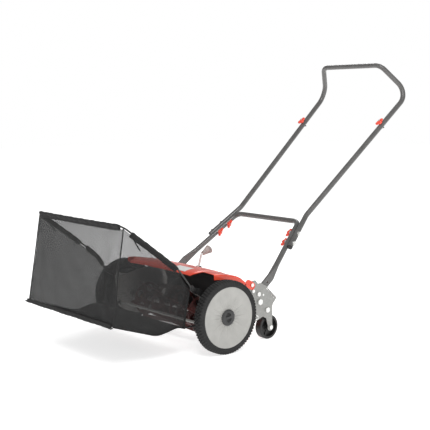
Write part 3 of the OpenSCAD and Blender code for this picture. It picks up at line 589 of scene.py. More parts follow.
@dataclass(frozen=True)
class Rubber(Finish):
    """Black rubber with a dusty bloom in uneven patches."""

    rough: float = 0.72

    def build(self) -> bpy.types.Material:
        """Makes the material."""
        g = Graph(self.name)
        bloom = g.patches((45.0, 6.0, 0.65), 0.4, 0.75)
        g.set(Base_Color=g.mix(bloom, self.shade(0.8), self.shade(1.55)))
        g.set(Roughness=g.span(bloom, 0.0, 1.0, self.rough, self.rough + 0.18))
        grain = g.bump(g.noise(1100.0, 3.0), 0.08, 0.7)
        g.set(Normal=g.bump(g.noise(240.0, 4.0), 0.15, 0.35, grain), Specular_IOR_Level=0.35)
        return g.material


@dataclass(frozen=True)
class Cloth(Finish):
    """Plain-woven cloth on its own UV map, in metres, with open meshes if open is above 0."""

    pitch: float = 1.1
    open: float = 0.0
    clear: float = 0.0
    rough: float = 0.85
    sheen: float = 0.25

    def build(self) -> bpy.types.Material:
        """Makes the material.

        The warp and weft are two sines of the UV map. A thread shows where either sine is high,
        and a mesh is open where both are below a level that leaves the share open of each pitch.
        """
        g = Graph(self.name)
        parts = g.add("ShaderNodeSeparateXYZ", {0: g.coords.outputs["UV"]}).outputs
        wave = TAU / (self.pitch * MM)
        warp = g.maths("SINE", g.maths("MULTIPLY", parts["X"], wave))
        weft = g.maths("SINE", g.maths("MULTIPLY", parts["Y"], wave))
        weave = g.maths("MAXIMUM", warp, weft)
        over = g.maths("MULTIPLY", warp, weft)
        height = g.maths("ADD", weave, g.maths("MULTIPLY", over, 0.35))
        slub = g.patches((160.0, 5.0, 0.7), 0.3, 0.7)
        tone = g.mix(slub, self.shade(0.72), self.shade(1.3))
        # Painted shade: the colour darkens towards shade(0.4) between the threads, where the weave is low.
        base = g.mix(g.span(weave, -0.6, 1.0, 0.35, 0.0), tone, self.shade(0.4))
        g.set(Base_Color=base, Roughness=self.rough, Sheen_Weight=self.sheen, Sheen_Roughness=0.45)
        g.set(Normal=g.bump(height, 0.12, 0.6), Specular_IOR_Level=0.3)
        if self.open > 0.0:
            level = -math.cos(math.pi * self.open)
            g.set(Alpha=g.span(weave, level - 0.18, level + 0.18, self.clear, 1.0))
        return g.material


FINISHES: dict[str, Finish] = {
    finish.name: finish
    for finish in (
        Galvanised("galvanised_steel", (0.36, 0.36, 0.345)),
        Paint("tube_paint", (0.115, 0.113, 0.11), rough=0.3, coat=0.3, dust=0.06),
        Paint("red_paint", (0.92, 0.075, 0.032), rough=0.3, coat=0.35, dust=0.04),
        Paint("blade_paint", (0.075, 0.024, 0.022), rough=0.42, coat=0.1, dust=0.1),
        Moulded("knob_plastic", (0.92, 0.085, 0.045), rough=0.28, depth=0.02, coat=0.3),
        Metal("zinc_fastener", (0.82, 0.82, 0.80), rough=0.22),
        Metal("bare_steel", (0.52, 0.51, 0.50), rough=0.3),
        Metal("bronze", (0.58, 0.40, 0.20), rough=0.38, grain=500.0),
        Moulded("black_plastic", (0.012, 0.012, 0.012), rough=0.42),
        Moulded("hub_plastic", (0.034, 0.034, 0.034), rough=0.4),
        Moulded("disc_plastic", (0.40, 0.395, 0.375), rough=0.42, depth=0.03),
        Rubber("tyre_rubber", (0.023, 0.023, 0.023)),
        Metal("gear_metal", (0.28, 0.27, 0.26), rough=0.45, grain=500.0),
        Paint("black_wire", (0.019, 0.019, 0.019), rough=0.3, coat=0.2, dust=0.05),
        Cloth("mesh_fabric", (0.027, 0.027, 0.027), pitch=2.2, open=0.62, clear=0.11, sheen=0.12),
        Cloth("floor_fabric", (0.02, 0.02, 0.02), pitch=1.0, sheen=0.12),
        Moulded("lever_plastic", (0.80, 0.80, 0.78), rough=0.4),
        Rubber("grip_rubber", (0.47, 0.42, 0.40), rough=0.6),
    )
}


class Workshop:
    """Holds the built materials and gives pieces their finish and body."""

    def __init__(self) -> None:
        """Builds every finish once."""
        self.materials = {slot: finish.build() for slot, finish in FINISHES.items()}
        self.record_slots = {part["material_slot"] for part in frame["record"]["subparts"]}

    def dress(self, obj: Piece, slot: str) -> None:
        """Gives a piece a finish, as its only material."""
        obj.data.materials.clear()
        obj.data.materials.append(self.materials[slot])

    def fit(self, obj: Piece, slot: str, body: str, *replaced: str) -> Piece:
        """Dresses a new piece and puts it on its body.

        Args:
            obj: The piece.
            slot: The finish's name, which is the record's material slot where the record has one.
            body: The body that the piece moves with.
            replaced: CAD nodes that the piece stands for.

        Returns:
            The same piece.
        """
        self.dress(obj, slot)
        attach(obj, body)
        if replaced:
            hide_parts(*replaced)
        LOG.info("%s: %d faces", obj.name, len(obj.data.polygons))
        return obj

    def dress_nodes(self) -> None:
        """Gives every CAD node the finish of its record slot."""
        for part in frame["record"]["subparts"]:
            self.dress(frame["nodes"][part["node"]], part["material_slot"])


def box_mm(node: str) -> tuple[Array, Array]:
    """A CAD node's lowest and highest corners, in millimetres."""
    low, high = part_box(node)
    return np.array(low) / MM, np.array(high) / MM


def radius_mm(node: str) -> float:
    """Radius of a round CAD node that turns about a line along X, in millimetres."""
    low, high = box_mm(node)
    return float(high[2] - low[2]) / 2.0


def points_mm(node: str) -> Array:
    """A CAD node's vertices, in millimetres."""
    mesh = frame["nodes"][node].data
    co = np.zeros(len(mesh.vertices) * 3, np.float32)
    mesh.vertices.foreach_get("co", co)
    return co.reshape(-1, 3).astype(float) / MM


def joint_named(name: str) -> dict:
    """A joint of the frame."""
    return next(joint for joint in frame["joints"] if joint["name"] == name)


# ---- main ---- wheels


@dataclass
class MainWheel:
    """A main wheel: treaded tyre, pale ribbed disc and dark hub cap."""

    side: Side
    shop: Workshop
    steps: int = 864
    lugs: int = 72
    lug_depth: float = 3.2
    lug_skew: float = 0.35
    middle_row: float = 0.32
    notch_depth: float = 1.1
    flute_depth: float = 0.5
    shoulder: float = 7.0
    disc_ribs: int = 24
    rib_height: float = 3.0
    dish_depth: float = 7.1
    cap_sunk: float = 1.6
    dome: float = 2.6
    pocket_depth: float = 4.4
    pocket_turns: tuple[float, float] = (1.75, 1.75 + math.pi)
    inner: float = field(init=False)
    outer: float = field(init=False)
    radius: float = field(init=False)
    rim: float = field(init=False)
    cap: float = field(init=False)

    def __post_init__(self) -> None:
        """Reads the wheel's sizes from the frame."""
        low, high = box_mm(f"tyre_{self.side.word}")
        self.inner, self.outer = (float(x) for x in np.sort(np.abs([low[0], high[0]])))
        self.radius = radius_mm(f"tyre_{self.side.word}")
        self.rim = radius_mm(f"wheel_{self.side.word}")
        self.cap = radius_mm(f"hub_cap_{self.side.word}")
        self.centre = np.array([0.0, self.radius])
        self.body = f"main_wheel_{self.side.word}"

    def build(self) -> None:
        """Makes the tyre, the disc and the cap."""
        word = self.side.word
        self.shop.fit(self.tyre(), "tyre_rubber", self.body, f"tyre_{word}")
        self.shop.fit(self.disc(), "disc_plastic", self.body)
        self.shop.fit(self.hub_cap(), "hub_plastic", self.body, f"hub_cap_{word}")
        # Dark pads of painted shade on the floors of the cap's recesses.
        self.shop.fit(self.pockets(), "black_plastic", self.body)

    def around(
        self, name: str, across: Array, radius: Array, t: Array, closing: bool = True
    ) -> Piece:
        """A closed surface about the axle.

        The point at angle t goes to (side across, cy + radius cos t, cz + radius sin t).

        Args:
            name: The piece's name, without its side.
            across: Distance from the machine's middle, angles by points.
            radius: Distance from the axle, angles by points.
            t: The angles, as a column.
            closing: Joins the last point of each row to its first.

        Returns:
            The piece.
        """
        y, z = self.centre[0] + radius * np.cos(t), self.centre[1] + radius * np.sin(t)
        points = stacked(self.side.value * across, y, z)
        return closed(grid_object(f"{name}_{self.side.word}", points, True, closing))

    def section(self) -> Array:
        """The tyre's closed section as (radius, distance from the middle), without its tread."""
        r, x0, x1, rim, s = self.radius, self.inner, self.outer, self.rim, self.shoulder
        ring = [
            (rim, x1 - 1.5), (rim + 1.5, x1 - 0.4), (rim + 3.0, x1), (rim + 6.5, x1),
            (rim + 7.3, x1 - 0.7), (rim + 8.3, x1 - 0.7), (rim + 9.0, x1), (r - s - 1.0, x1),
            (r - s + 2.0, x1 - 0.3),
        ]
        bend = np.linspace(0.0, math.pi / 2.0, 8)[1:]
        rise, turn_in = (s - 2.0) * np.sin(bend), (s - 0.3) * (1 - np.cos(bend))
        near = np.stack([r - s + 2.0 + rise, x1 - 0.3 - turn_in], 1)
        tread = np.stack([np.full(13, r), np.linspace(x1 - s, x0 + s, 15)[1:-1]], 1)
        half = np.vstack([ring, near])
        far = half[::-1] * [1.0, -1.0] + [0.0, x0 + x1]
        return np.vstack([half, tread, far])

    def tyre(self) -> Piece:
        """The tyre, as its section turned about the axle with lugs raised from it.

        Going round by angle t and across by w from -1 to 1, the tread is lowered by the lug depth
        where sin(lugs t + phase) is under a level. The phase steps by half a lug between the three
        rows that w divides, so blocks are staggered, and a groove runs between the rows.
        """
        section = self.section()
        t = turns(self.steps)[:, None]
        r, x = section[None, :, 0], section[None, :, 1]
        w = (x - (self.inner + self.outer) / 2.0) / ((self.outer - self.inner) / 2.0)
        shoulder = self.radius - self.shoulder
        row = np.where(np.abs(w) < self.middle_row, 0.5, 0.0)
        block = smoothstep(-0.42, -0.12, np.sin(self.lugs * t + TAU * (row + self.lug_skew * w)))
        between = smoothstep(0.03, 0.09, np.abs(np.abs(w) - self.middle_row))
        on_tread = smoothstep(shoulder - 2.5, shoulder + 2.0, r)
        radius = r - self.lug_depth * on_tread * (1.0 - block * between)
        wall = smoothstep(0.90, 0.99, np.abs(w)) * on_tread
        notches = self.notch_depth * wall * (1.0 - block)
        sidewall = (r > self.rim + 10.0) & (r < shoulder) & (np.abs(w) > 0.98)
        flutes = self.flute_depth * sidewall * (np.sin(2 * self.lugs * t) > 0.0)
        return self.around("tread_tyre", x - np.sign(w) * (notches + flutes), radius, t)

    def disc(self) -> Piece:
        """The pale disc: a shallow cone with tapering radial ribs that fade before the rim.

        A rib's height is rib_height * |cos(ribs t / 2)|^26 * (1 - s / reach)^0.8 at a share s of
        the way from the cap to the rim. The reach is longer for every second rib. The cone rises
        by dish_depth * s^1.25, with a low step and a bead near the rim.
        """
        r0, r1 = self.cap - 2.0, self.rim - 0.4
        s = np.linspace(0.0, 1.0, 46)[None, :]
        r = r0 + (r1 - r0) * s
        t = turns(480)[:, None]
        blade = np.abs(np.cos(self.disc_ribs * t / 2.0)) ** 26
        long = 0.5 + 0.5 * np.cos(self.disc_ribs / 2.0 * t)
        reach = 0.42 + 0.26 * smoothstep(0.4, 0.6, long) + 0.05 * np.sin(5.0 * t)
        rib = self.rib_height * blade * np.clip(1.0 - s / reach, 0.0, 1.0) ** 0.8
        dish = self.outer - 0.3 - self.dish_depth * (1.0 - s**1.25)
        bead = 0.4 * smoothstep(0.955, 0.972, s) * (1.0 - smoothstep(0.985, 1.0, s))
        step = 0.245 * (smoothstep(0.90, 0.915, s) - smoothstep(0.945, 0.955, s))
        front = dish + rib + bead + step - 2.2 * smoothstep(0.985, 1.0, s) ** 2
        back = dish - 1.2 - 0.9 * smoothstep(0.97, 1.0, s)
        radius = np.concatenate([r, r[:, ::-1]], axis=1) + 0.0 * t
        across = np.concatenate([front, back[:, ::-1] + 0.0 * t], axis=1)
        return self.around("wheel_disc", across, radius, t)

    def hub_cap(self) -> Piece:
        """The hub cap: a domed disc with a raised ring and two D-shaped recesses.

        The face stands at its height - dome s^4 for s from the middle to the edge. A recess is the
        part of an ellipse beyond a chord square to its own direction, and is sunk by pocket_depth.
        """
        low, high = box_mm(f"hub_cap_{self.side.word}")
        inner = float(np.min(np.abs([low[0], high[0]])))
        s = np.concatenate([np.linspace(0.0, 0.96, 44), [0.98, 1.0, 1.0]])[None, :]
        t = turns(240)[:, None]
        y, z = s * np.cos(t), s * np.sin(t)
        face = self.outer - self.cap_sunk - self.dome * s**4
        ring = 0.9 * hill(s, 0.80, 0.05)
        recess = np.zeros_like(y)
        for turn in self.pocket_turns:
            along = y * math.cos(turn) + z * math.sin(turn)
            aside = -y * math.sin(turn) + z * math.cos(turn)
            ellipse = 1.0 - smoothstep(0.55, 0.62, np.hypot(along, 1.35 * aside))
            recess = np.maximum(recess, smoothstep(0.13, 0.19, along) * ellipse)
        face = face + ring - self.pocket_depth * recess
        face[:, -1] = inner
        radius = self.cap * s * np.ones_like(t)
        radius[:, -2] = self.cap * 0.995
        return self.around("domed_cap", face, radius, t, False)

    def pockets(self) -> Piece:
        """Two dark oval pads of painted shade on the floors of the cap's recesses."""
        level = self.outer - self.cap_sunk - self.pocket_depth
        shade_pads = []
        for k, turn in enumerate(self.pocket_turns):
            t = turns(32)[None, :]
            s = np.array([0.0, 0.7, 0.95, 1.0, 1.0, 0.0])[:, None]
            rise = np.array([0.35, 0.35, 0.3, 0.1, -0.3, -0.3])[:, None]
            along = self.cap * (0.36 + 0.17 * s * np.cos(t))
            aside = self.cap * 0.32 * s * np.sin(t)
            y = self.centre[0] + along * math.cos(turn) - aside * math.sin(turn)
            z = self.centre[1] + along * math.sin(turn) + aside * math.cos(turn)
            points = stacked(self.side.value * (level + rise), y, z)
            shade_pads.append(closed(grid_object(f"pad_{self.side.word}_{k}", points, False, True)))
        return joined(f"cap_pockets_{self.side.word}", shade_pads)


# ---- cover ----


@dataclass
class Cover:
    """The pressed red cover, with an ear at each end, an apron, a dark sheet of painted shade inside and a pale
    patch.
    """

    shop: Workshop
    sheet: float = 1.6
    crown: float = 7.0
    flange: float = 18.0
    fold: float = 4.0
    lip_cut: float = 44.0
    cut_start: float = 0.70
    cut_end: float = 0.80
    bead_height: float = 1.6
    crease_depth: float = 2.2
    painted_shade_sheet_gap: float = 2.2
    ear_at: tuple[float, float] = (151.0, 212.5)
    ear_size: tuple[float, float] = (24.0, 14.0)
    ear_lean: float = -30.0
    patch_gap: float = 1.2
    patch_x: tuple[float, float] = (62.0, 142.0)
    patch_y: tuple[float, float] = (-50.0, -8.0)
    rows: int = 70
    columns: int = 150

    PROFILE: ClassVar[tuple] = (
        (-58.0, 261.0), (-50.0, 267.5), (-36.0, 271.5), (-10.0, 273.0), (34.0, 268.0),
        (72.0, 258.0), (104.0, 243.0), (132.0, 222.0),
    )
    APRON: ClassVar[tuple] = (
        (128.0, 224.0), (146.0, 206.0), (158.0, 182.0), (161.5, 160.0), (158.0, 132.0),
        (149.0, 104.0), (133.0, 80.0),
    )

    def __post_init__(self) -> None:
        """Reads the cover's ends from the frame."""
        low, high = box_mm("reel_cover")
        self.half = float(high[0]) - self.sheet / 2.0
        low, high = box_mm("side_plate_left")
        self.inner_half = float(low[0]) - 2.0

    def build(self) -> None:
        """Makes the cover, its ears, its apron and its plain patch."""
        parts = [self.top(), *[self.ear(side) for side in Side]]
        cover = joined("cover_pressing", parts)
        solidify(cover, self.sheet)
        bevelled(cover, 0.5)
        self.shop.fit(cover, "red_paint", "chassis", "reel_cover")
        apron = solidify(self.apron(), self.sheet)
        self.shop.fit(apron, "red_paint", "chassis")
        # A dark sheet of painted shade inside the top and the apron.
        self.shop.fit(solidify(self.painted_shade_sheet(), 0.8), "black_plastic", "chassis")
        self.shop.fit(solidify(self.patch(), 0.4), "lever_plastic", "chassis")

    def drop(self, across: Array, y: Array) -> Array:
        """How far the crown falls at a share across, from 0 in the middle to 1 at an end.

        It is crown * across^2.4, and fades from full at the lip to none at the bolts.
        """
        return self.crown * np.abs(across) ** 2.4 * (1.0 - smoothstep(30.0, 118.0, y))

    def top(self) -> Piece:
        """The crowned sheet.

        One grid direction follows the profile, the other runs up one flange, round its bend, across
        the top, and down the other flange. Near the ends the profile starts further back, which cuts
        the lip's corners. A bead crosses the sheet and a crease runs in from each end of the lip.
        """
        profile = spline(np.array(self.PROFILE), 400)
        run = np.linspace(0.0, 1.0, len(profile))
        bend = np.linspace(0.0, math.pi / 2.0, 7)
        side_x = self.half - self.fold + self.fold * np.sin(bend)
        side_z = -self.fold + self.fold * np.cos(bend)
        wall = np.linspace(-self.fold - 1.5, -self.flange, 5)
        flat_x = np.linspace(0.0, self.half - self.fold - 1.0, 68)
        half_x = np.concatenate([flat_x, side_x, np.full(5, self.half)])
        half_z = np.concatenate([np.zeros(68), side_z, wall])
        x = np.concatenate([-half_x[::-1], half_x[1:]])
        fall = np.concatenate([half_z[::-1], half_z[1:]])
        share = np.clip(np.abs(x) / self.half, 0.0, 1.0)
        start = self.lip_cut * smoothstep(self.cut_start, self.cut_end, share)
        start_at = np.interp(start + profile[0, 0], profile[:, 0], run)
        b = np.linspace(0.0, 1.0, self.rows)[:, None]
        at = start_at[None, :] + b * (1.0 - start_at[None, :])
        y = np.interp(at, run, profile[:, 0])
        z = np.interp(at, run, profile[:, 1])
        z = z - self.drop(share[None, :], y) + fall[None, :]
        bead = self.bead_height * hill(y, 60.0, 5.0)
        bead = bead * (1.0 - smoothstep(0.80, 0.88, share))[None, :]
        crease = self.crease_depth * hill(share[None, :], 0.74, 0.018)
        crease = crease * (1.0 - smoothstep(40.0, 90.0, y))
        return grid_object("cover_top", stacked(x[None, :], y, z + bead - crease))

    def ear(self, side: Side) -> Piece:
        """A rounded lug that carries a flange back to its bolt.

        It is a squarish oval that leans back, filled from its middle by rings. Its radius is scaled
        by (|cos t|^3.2 + |sin t|^3.2)^(-1 / 3.2).
        """
        t = turns(64)[None, :]
        s = np.linspace(0.0, 1.0, 8)[:, None]
        squareness = (np.abs(np.cos(t)) ** 3.2 + np.abs(np.sin(t)) ** 3.2) ** (-1 / 3.2)
        a, b = self.ear_size[0] * squareness * np.cos(t), self.ear_size[1] * squareness * np.sin(t)
        lean = math.radians(self.ear_lean)
        y = self.ear_at[0] + s * (a * math.cos(lean) - b * math.sin(lean))
        z = self.ear_at[1] + s * (a * math.sin(lean) + b * math.cos(lean))
        ear = grid_object(f"ear_{side.word}", stacked(side.value * self.half, y, z), False, True)
        with edited(ear.data) as form:
            bmesh.ops.remove_doubles(form, verts=form.verts, dist=MERGE_DISTANCE)
        return ear

    def painted_shade_sheet(self) -> Piece:
        """A dark sheet of painted shade on the inside of the top and the apron, which stops short of the lip."""
        inside = beside(spline(np.array(self.PROFILE[3:] + self.APRON[1:]), 120), -self.painted_shade_sheet_gap)
        x = np.linspace(-self.inner_half + 1.0, self.inner_half - 1.0, 60)
        y, z = inside[:, :1], inside[:, 1:]
        return grid_object("cover_painted_shade_sheet", stacked(x, y, z - self.drop(x / self.half, y)))

    def patch(self) -> Piece:
        """A plain pale patch that follows the lip near its middle."""
        outside = beside(spline(np.array(self.PROFILE), 400), self.patch_gap)
        y = np.linspace(self.patch_y[0], self.patch_y[1], 24)[:, None]
        x = np.linspace(self.patch_x[0], self.patch_x[1], 40)[None, :]
        z = np.interp(y, outside[:, 0], outside[:, 1]) - self.drop(x / self.half, y)
        return grid_object("plain_patch", stacked(x, y, z))

    def apron(self) -> Piece:
        """The narrower back of the cover, which goes down behind the reel to the bed-knife bar."""
        profile = spline(np.array(self.APRON), 48)
        x = np.linspace(-self.inner_half, self.inner_half, 60)
        y, z = profile[:, :1], profile[:, 1:]
        bead = 1.4 * hill(z, 150.0, 4.0) * (np.abs(x) < self.inner_half - 18.0)
        return grid_object("cover_apron", stacked(x, y + bead, z))


# ---- catcher ----


@dataclass
class Catcher:
    """The fabric grass catcher: mesh sheets, a closed floor, sleeves, tapes, hems and ties."""

    shop: Workshop
    body: str = "catcher"
    elbow: tuple[float, float] = (-170.0, 302.0)
    flare: float = 34.0
    short: float = 22.0
    cloth: float = 0.3
    wire: float = 3.0
    sleeve: float = 6.0
    tail: float = 8.5
    tail_spread: float = 0.36
    bulge: float = 9.0
    billow: float = 7.0
    sag: float = 5.0
    corner: float = 14.0
    stitch_pitch: float = 6.0
    stitch_r: float = 0.45
    line_points: int = 90

    SIDE_FOLDS: ClassVar[dict] = {
        Side.LEFT: [
            (-386, 452, -330, 180, 26, 7), (-386, 452, -250, 260, 16, 5),
            (-150, 262, -330, 150, 20, -9), (-140, 240, -230, 110, 13, 8),
            (-125, 215, -200, 100, 11, -6), (-170, 285, -300, 250, 15, 6),
            (-130, 105, -330, 190, 15, 7), (-122, 130, -260, 215, 12, -6),
            (-118, 165, -240, 235, 11, 5), (-300, 120, -390, 200, 14, 6),
            (-230, 105, -300, 170, 12, -5), (-410, 150, -340, 250, 16, -5),
            (-180, 120, -190, 210, 10, 5), (-270, 320, -250, 200, 18, -5),
        ],
        Side.RIGHT: [
            (-386, 452, -320, 190, 24, 7), (-150, 262, -340, 160, 18, 8),
            (-140, 230, -240, 120, 13, -7), (-130, 110, -320, 180, 15, 7),
            (-170, 285, -300, 240, 15, -6), (-300, 120, -390, 210, 14, 6),
            (-230, 105, -300, 170, 12, -5), (-122, 150, -250, 220, 11, 5),
        ],
    }
    FRONT_FOLDS: ClassVar[list] = [
        (-250, 450, -130, 200, 20, 6), (-250, 450, -215, 170, 16, -5), (250, 450, 150, 210, 22, 6),
        (250, 450, 225, 180, 15, -5), (-285, 155, -170, 270, 20, 6), (250, 155, 130, 250, 20, 6),
        (-120, 160, -150, 300, 24, -4), (60, 160, 90, 290, 26, 4), (-20, 440, -10, 330, 22, 3),
        (-190, 150, -240, 240, 13, -4), (180, 150, 200, 230, 13, -4),
    ]

    def __post_init__(self) -> None:
        """Reads the wire frame, the floor and the lift pin from the frame."""
        low, high = box_mm("catcher_frame")
        self.wire_x = float(high[0]) - self.wire
        self.front = np.array([float(low[1]) + self.wire, float(high[2]) - self.wire])
        self.pin = np.array(joint_named("catcher_lift")["pos_m"][1:]) / MM
        low, high = box_mm("bag_front")
        self.half = float(high[0])
        self.bottom = np.array([float(low[1]) + 1.5, float(low[2]) - 2.0])
        low, high = box_mm("bag_floor")
        self.mouth = float(high[1])
        drop = self.bottom[1]
        floor = [
            (self.bottom[0], drop), (-307.0, drop - 37.0), (-257.0, drop - 51.0),
            (-217.0, drop - 48.0), (-171.0, drop - 39.0), (self.mouth - self.short, drop - 46.0),
        ]
        self.floor_line = spline(np.array(floor), self.line_points)
        self.top_line = self.arm_line()

    def arm_line(self) -> Array:
        """A side's upper edge as (y, z): inside the arm's wire, round its elbow to the pin."""
        inset = [[1.0, -6.0], [-3.0, -6.0], [-5.0, -2.0]]
        return resample(np.array([self.front, self.elbow, self.pin]) + inset, self.line_points)

    def build(self) -> None:
        sides = {side: self.side_panel(side) for side in Side}
        front = self.front_panel()
        floor = self.floor()
        sleeve = self.crossbar_sleeve()
        hem = self.front_hem()
        arms = {side: self.arm_sleeves(side) for side in Side}
        seams = {side: self.side_seams(side) for side in Side}
        mouth = self.mouth_hem()
        ties = self.ties()
        stitches = self.stitches()
        self.shop.fit(front, "mesh_fabric", self.body, "bag_front")
        self.shop.fit(sides[Side.LEFT], "mesh_fabric", self.body, "bag_sides")
        self.shop.fit(sides[Side.RIGHT], "mesh_fabric", self.body, "bag_sides")
        self.shop.fit(floor, "floor_fabric", self.body, "bag_floor")
        trims = [sleeve, hem, mouth, ties, stitches, *arms.values(), *seams.values()]
        for piece in trims:
            self.shop.fit(piece, "floor_fabric", self.body)

    def lean(self, along: Array, up: Array) -> Array:
        """How far a side stands out to its arm's wire: (wire - panel) up^2, none by the pin."""
        return (self.wire_x - 1.0 - self.half) * up**2 * (1.0 - smoothstep(0.7, 1.0, along))

    def flared(self, side: Side, along: Array, up: Array) -> Array:
        """Half-width of the bag, whose far lower front corner stands out over its rod's long end.

        The corner adds flare (1 - along)^3 (1 - up)^1.2.
        """
        extra = self.flare if side is Side.RIGHT else 0.0
        return self.half + extra * (1.0 - along) ** 3 * (1.0 - up) ** 1.2

    def sheet(self, name: str, x: Array, y: Array, z: Array, flat: tuple[Array, Array]) -> Piece:
        """A cloth sheet from its grid of coordinates, with a UV map from the flat pair."""
        return solidify(grid_object(name, stacked(x, y, z), uv=stacked(*flat) * MM), self.cloth)

    def side_panel(self, side: Side) -> Piece:
        """A side, ruled from the floor's edge (v = 0) to the arm's line (v = 1).

        At a share u of both lengths it bulges by bulge sin(pi u) sin(pi v)^0.8 and carries folds.
        """
        u = np.linspace(0.0, 1.0, 150)[:, None]
        v = np.linspace(0.0, 1.0, 110)[None, :]
        low = at_shares(self.floor_line, u[:, 0])[:, None]
        high = at_shares(self.top_line, u[:, 0])[:, None]
        yz = low + (high - low) * v[..., None]
        y, z = yz[..., 0], yz[..., 1]
        bulge = self.bulge * np.sin(math.pi * u) * np.sin(math.pi * v) ** 0.8
        folds = ridges(y, z, self.SIDE_FOLDS[side]) + 1.5 * ripple(y, z, 13.0)
        x = self.flared(side, u, v) + self.lean(u, v) + bulge + arch(u, 0.5) * arch(v, 0.5) * folds
        return self.sheet(f"mesh_side_{side.word}", side.value * x, y, z, (y, z))

    def front_panel(self) -> Piece:
        """The front, ruled from the lower rod to the crossbar, with folds from its corners.

        It billows forward by billow sin(pi a) sin(pi b).
        """
        a = np.linspace(0.0, 1.0, 170)[:, None]
        b = np.linspace(0.0, 1.0, 120)[None, :]
        left = -self.flared(Side.RIGHT, 0.0 * b, b) - self.lean(0.0 * b, b)
        right = self.flared(Side.LEFT, 0.0 * b, b) + self.lean(0.0 * b, b)
        x = left + (right - left) * a
        z = self.bottom[1] + (self.front[1] - 8.0 - self.bottom[1]) * b + 0.0 * a
        y = self.bottom[0] + (self.front[0] - self.bottom[0]) * b + 0.0 * a
        billow = self.billow * np.sin(math.pi * a) * np.sin(math.pi * b)
        folds = ridges(x, z, self.FRONT_FOLDS) + 1.4 * ripple(x, z, 15.0)
        y = y - billow - arch(a, 0.4) * arch(b, 0.4) * folds
        return self.sheet("mesh_front", x, y, z, (x, z))

    def floor(self) -> Piece:
        """The floor: its line carried across, sagging by sag (1 - c^2) sin(pi u)."""
        u = np.linspace(0.0, 1.0, 130)[:, None]
        c = np.linspace(-1.0, 1.0, 150)[None, :]
        line = at_shares(self.floor_line, u[:, 0])
        y, z = line[:, :1] + 0.0 * c, line[:, 1:]
        x = c * np.where(c < 0.0, self.flared(Side.RIGHT, u, 0.0), self.half)
        hold = arch(u, 0.5) * np.clip(1.0 - np.abs(c) ** 6, 0, 1)
        z = z - self.sag * (1.0 - c**2) * np.sin(math.pi * u) + hold * 2.0 * ripple(x, y, 21.0)
        return self.sheet("bag_base", x, y, z, (x, y))

    def sleeve_tube(self, name: str, path: Array, lean: float, up: Array) -> Piece:
        """A cloth sleeve round a wire: a round tube with a flat sewn tail.

        The section's radius at angle t is sleeve + tail exp(-(d / tail_spread)^2), where d is the
        angle from the tail's direction, and it swells and shrinks a little along the path.

        Args:
            name: The piece's name.
            path: The wire's line.
            lean: Direction of the tail in the section, in degrees.
            up: A vector that the path is never parallel to.

        Returns:
            The tube, closed at its ends.
        """
        t = turns(40)[None, :]
        run = run_of(path)[:, None]
        tail = self.tail * hill(angle_from(t, math.radians(lean)), 0.0, self.tail_spread)
        pucker = 0.45 * np.sin(run / 5.3 + 1.7 * np.sin(t * 2.0)) + 0.35 * np.sin(run / 11.0 + t)
        end = 1.0 - 0.22 * hill(np.minimum(run, run[-1] - run), 0.0, 4.0)
        radius = end * (self.sleeve + pucker) + tail
        section = stacked(radius * np.cos(t), radius * np.sin(t))
        return tube(name, path, section, up, stacked(run, 9.0 * t))

    def crossbar_sleeve(self) -> Piece:
        """The sleeve on the crossbar, which leaves the near corner bare."""
        x = np.linspace(-self.wire_x + 2.0, self.wire_x - 20.0, 120)
        droop = 1.2 * np.sin(math.pi * (x - x[0]) / (x[-1] - x[0]))
        path = np.stack([x, np.full_like(x, self.front[0]), self.front[1] - droop], axis=1)
        return self.sleeve_tube("crossbar_sleeve", path, -90.0, UP)

    def arm_path(self, side: Side) -> Array:
        """One arm's wire from the front corner over the elbow to the pin, as 200 even points."""
        corners = np.array([self.front, self.elbow, self.pin])
        yz = resample(spline(corners, 200), 200)
        return np.column_stack([np.full(200, side.value * self.wire_x), yz])

    def arm_sleeves(self, side: Side) -> Piece:
        """The sleeves on one arm, with a cut-out that leaves the wire bare."""
        spans = [(0.11, 0.735)] if side is Side.LEFT else [(0.02, 0.57), (0.66, 0.95)]
        whole = self.arm_path(side)
        lean = -118.0 if side is Side.LEFT else -62.0
        paths = [at_shares(whole, np.linspace(*span, 90)) for span in spans]
        word = side.word
        tubes = [
            self.sleeve_tube(f"sleeve_{word}_{k}", path, lean, UP) for k, path in enumerate(paths)
        ]
        return joined(f"arm_sleeve_{side.word}", tubes)

    def tape(self, name: str, path: Array, half: float, thick: float, up: Array) -> Piece:
        """A flat tape: the section (half |cos t|^0.45, thick sin t) carried along a path."""
        t = turns(20)
        flat = np.sign(np.cos(t)) * np.abs(np.cos(t)) ** 0.45
        section = stacked(half * flat, thick * np.sin(t))
        return tube(name, path, section, up, stacked(run_of(path)[:, None], half * t / 2.0))

    def side_seams(self, side: Side) -> Piece:
        """The bound seams of a side: down its front edge and along its lower edge."""
        s = np.linspace(0.0, 1.0, 70)[:, None]
        top = np.array([self.wire_x - 1.0, self.front[0], self.front[1] - 6.0])
        low = np.array([float(self.flared(side, np.array(0.0), np.array(0.0))), *self.bottom])
        wave = 1.2 * np.sin(9.0 * s + 0.6)
        upright = (top + (low - top) * s + wave * [1.0, 0.4, 0.0]) * [side.value, 1.0, 1.0]
        share = np.linspace(0.0, 1.0, self.line_points)
        x = side.value * (self.flared(side, share, 0.0 * share) + 1.5 + 0.9 * np.sin(14.0 * share))
        lower = np.stack([x, self.floor_line[:, 0], self.floor_line[:, 1] - 0.5], axis=1)
        pieces = [
            self.tape(f"seam_front_{side.word}", upright, 2.6, 1.3, BACK),
            self.tape(f"seam_low_{side.word}", lower, 3.4, 1.6, UP),
        ]
        return joined(f"bound_seam_{side.word}", pieces)

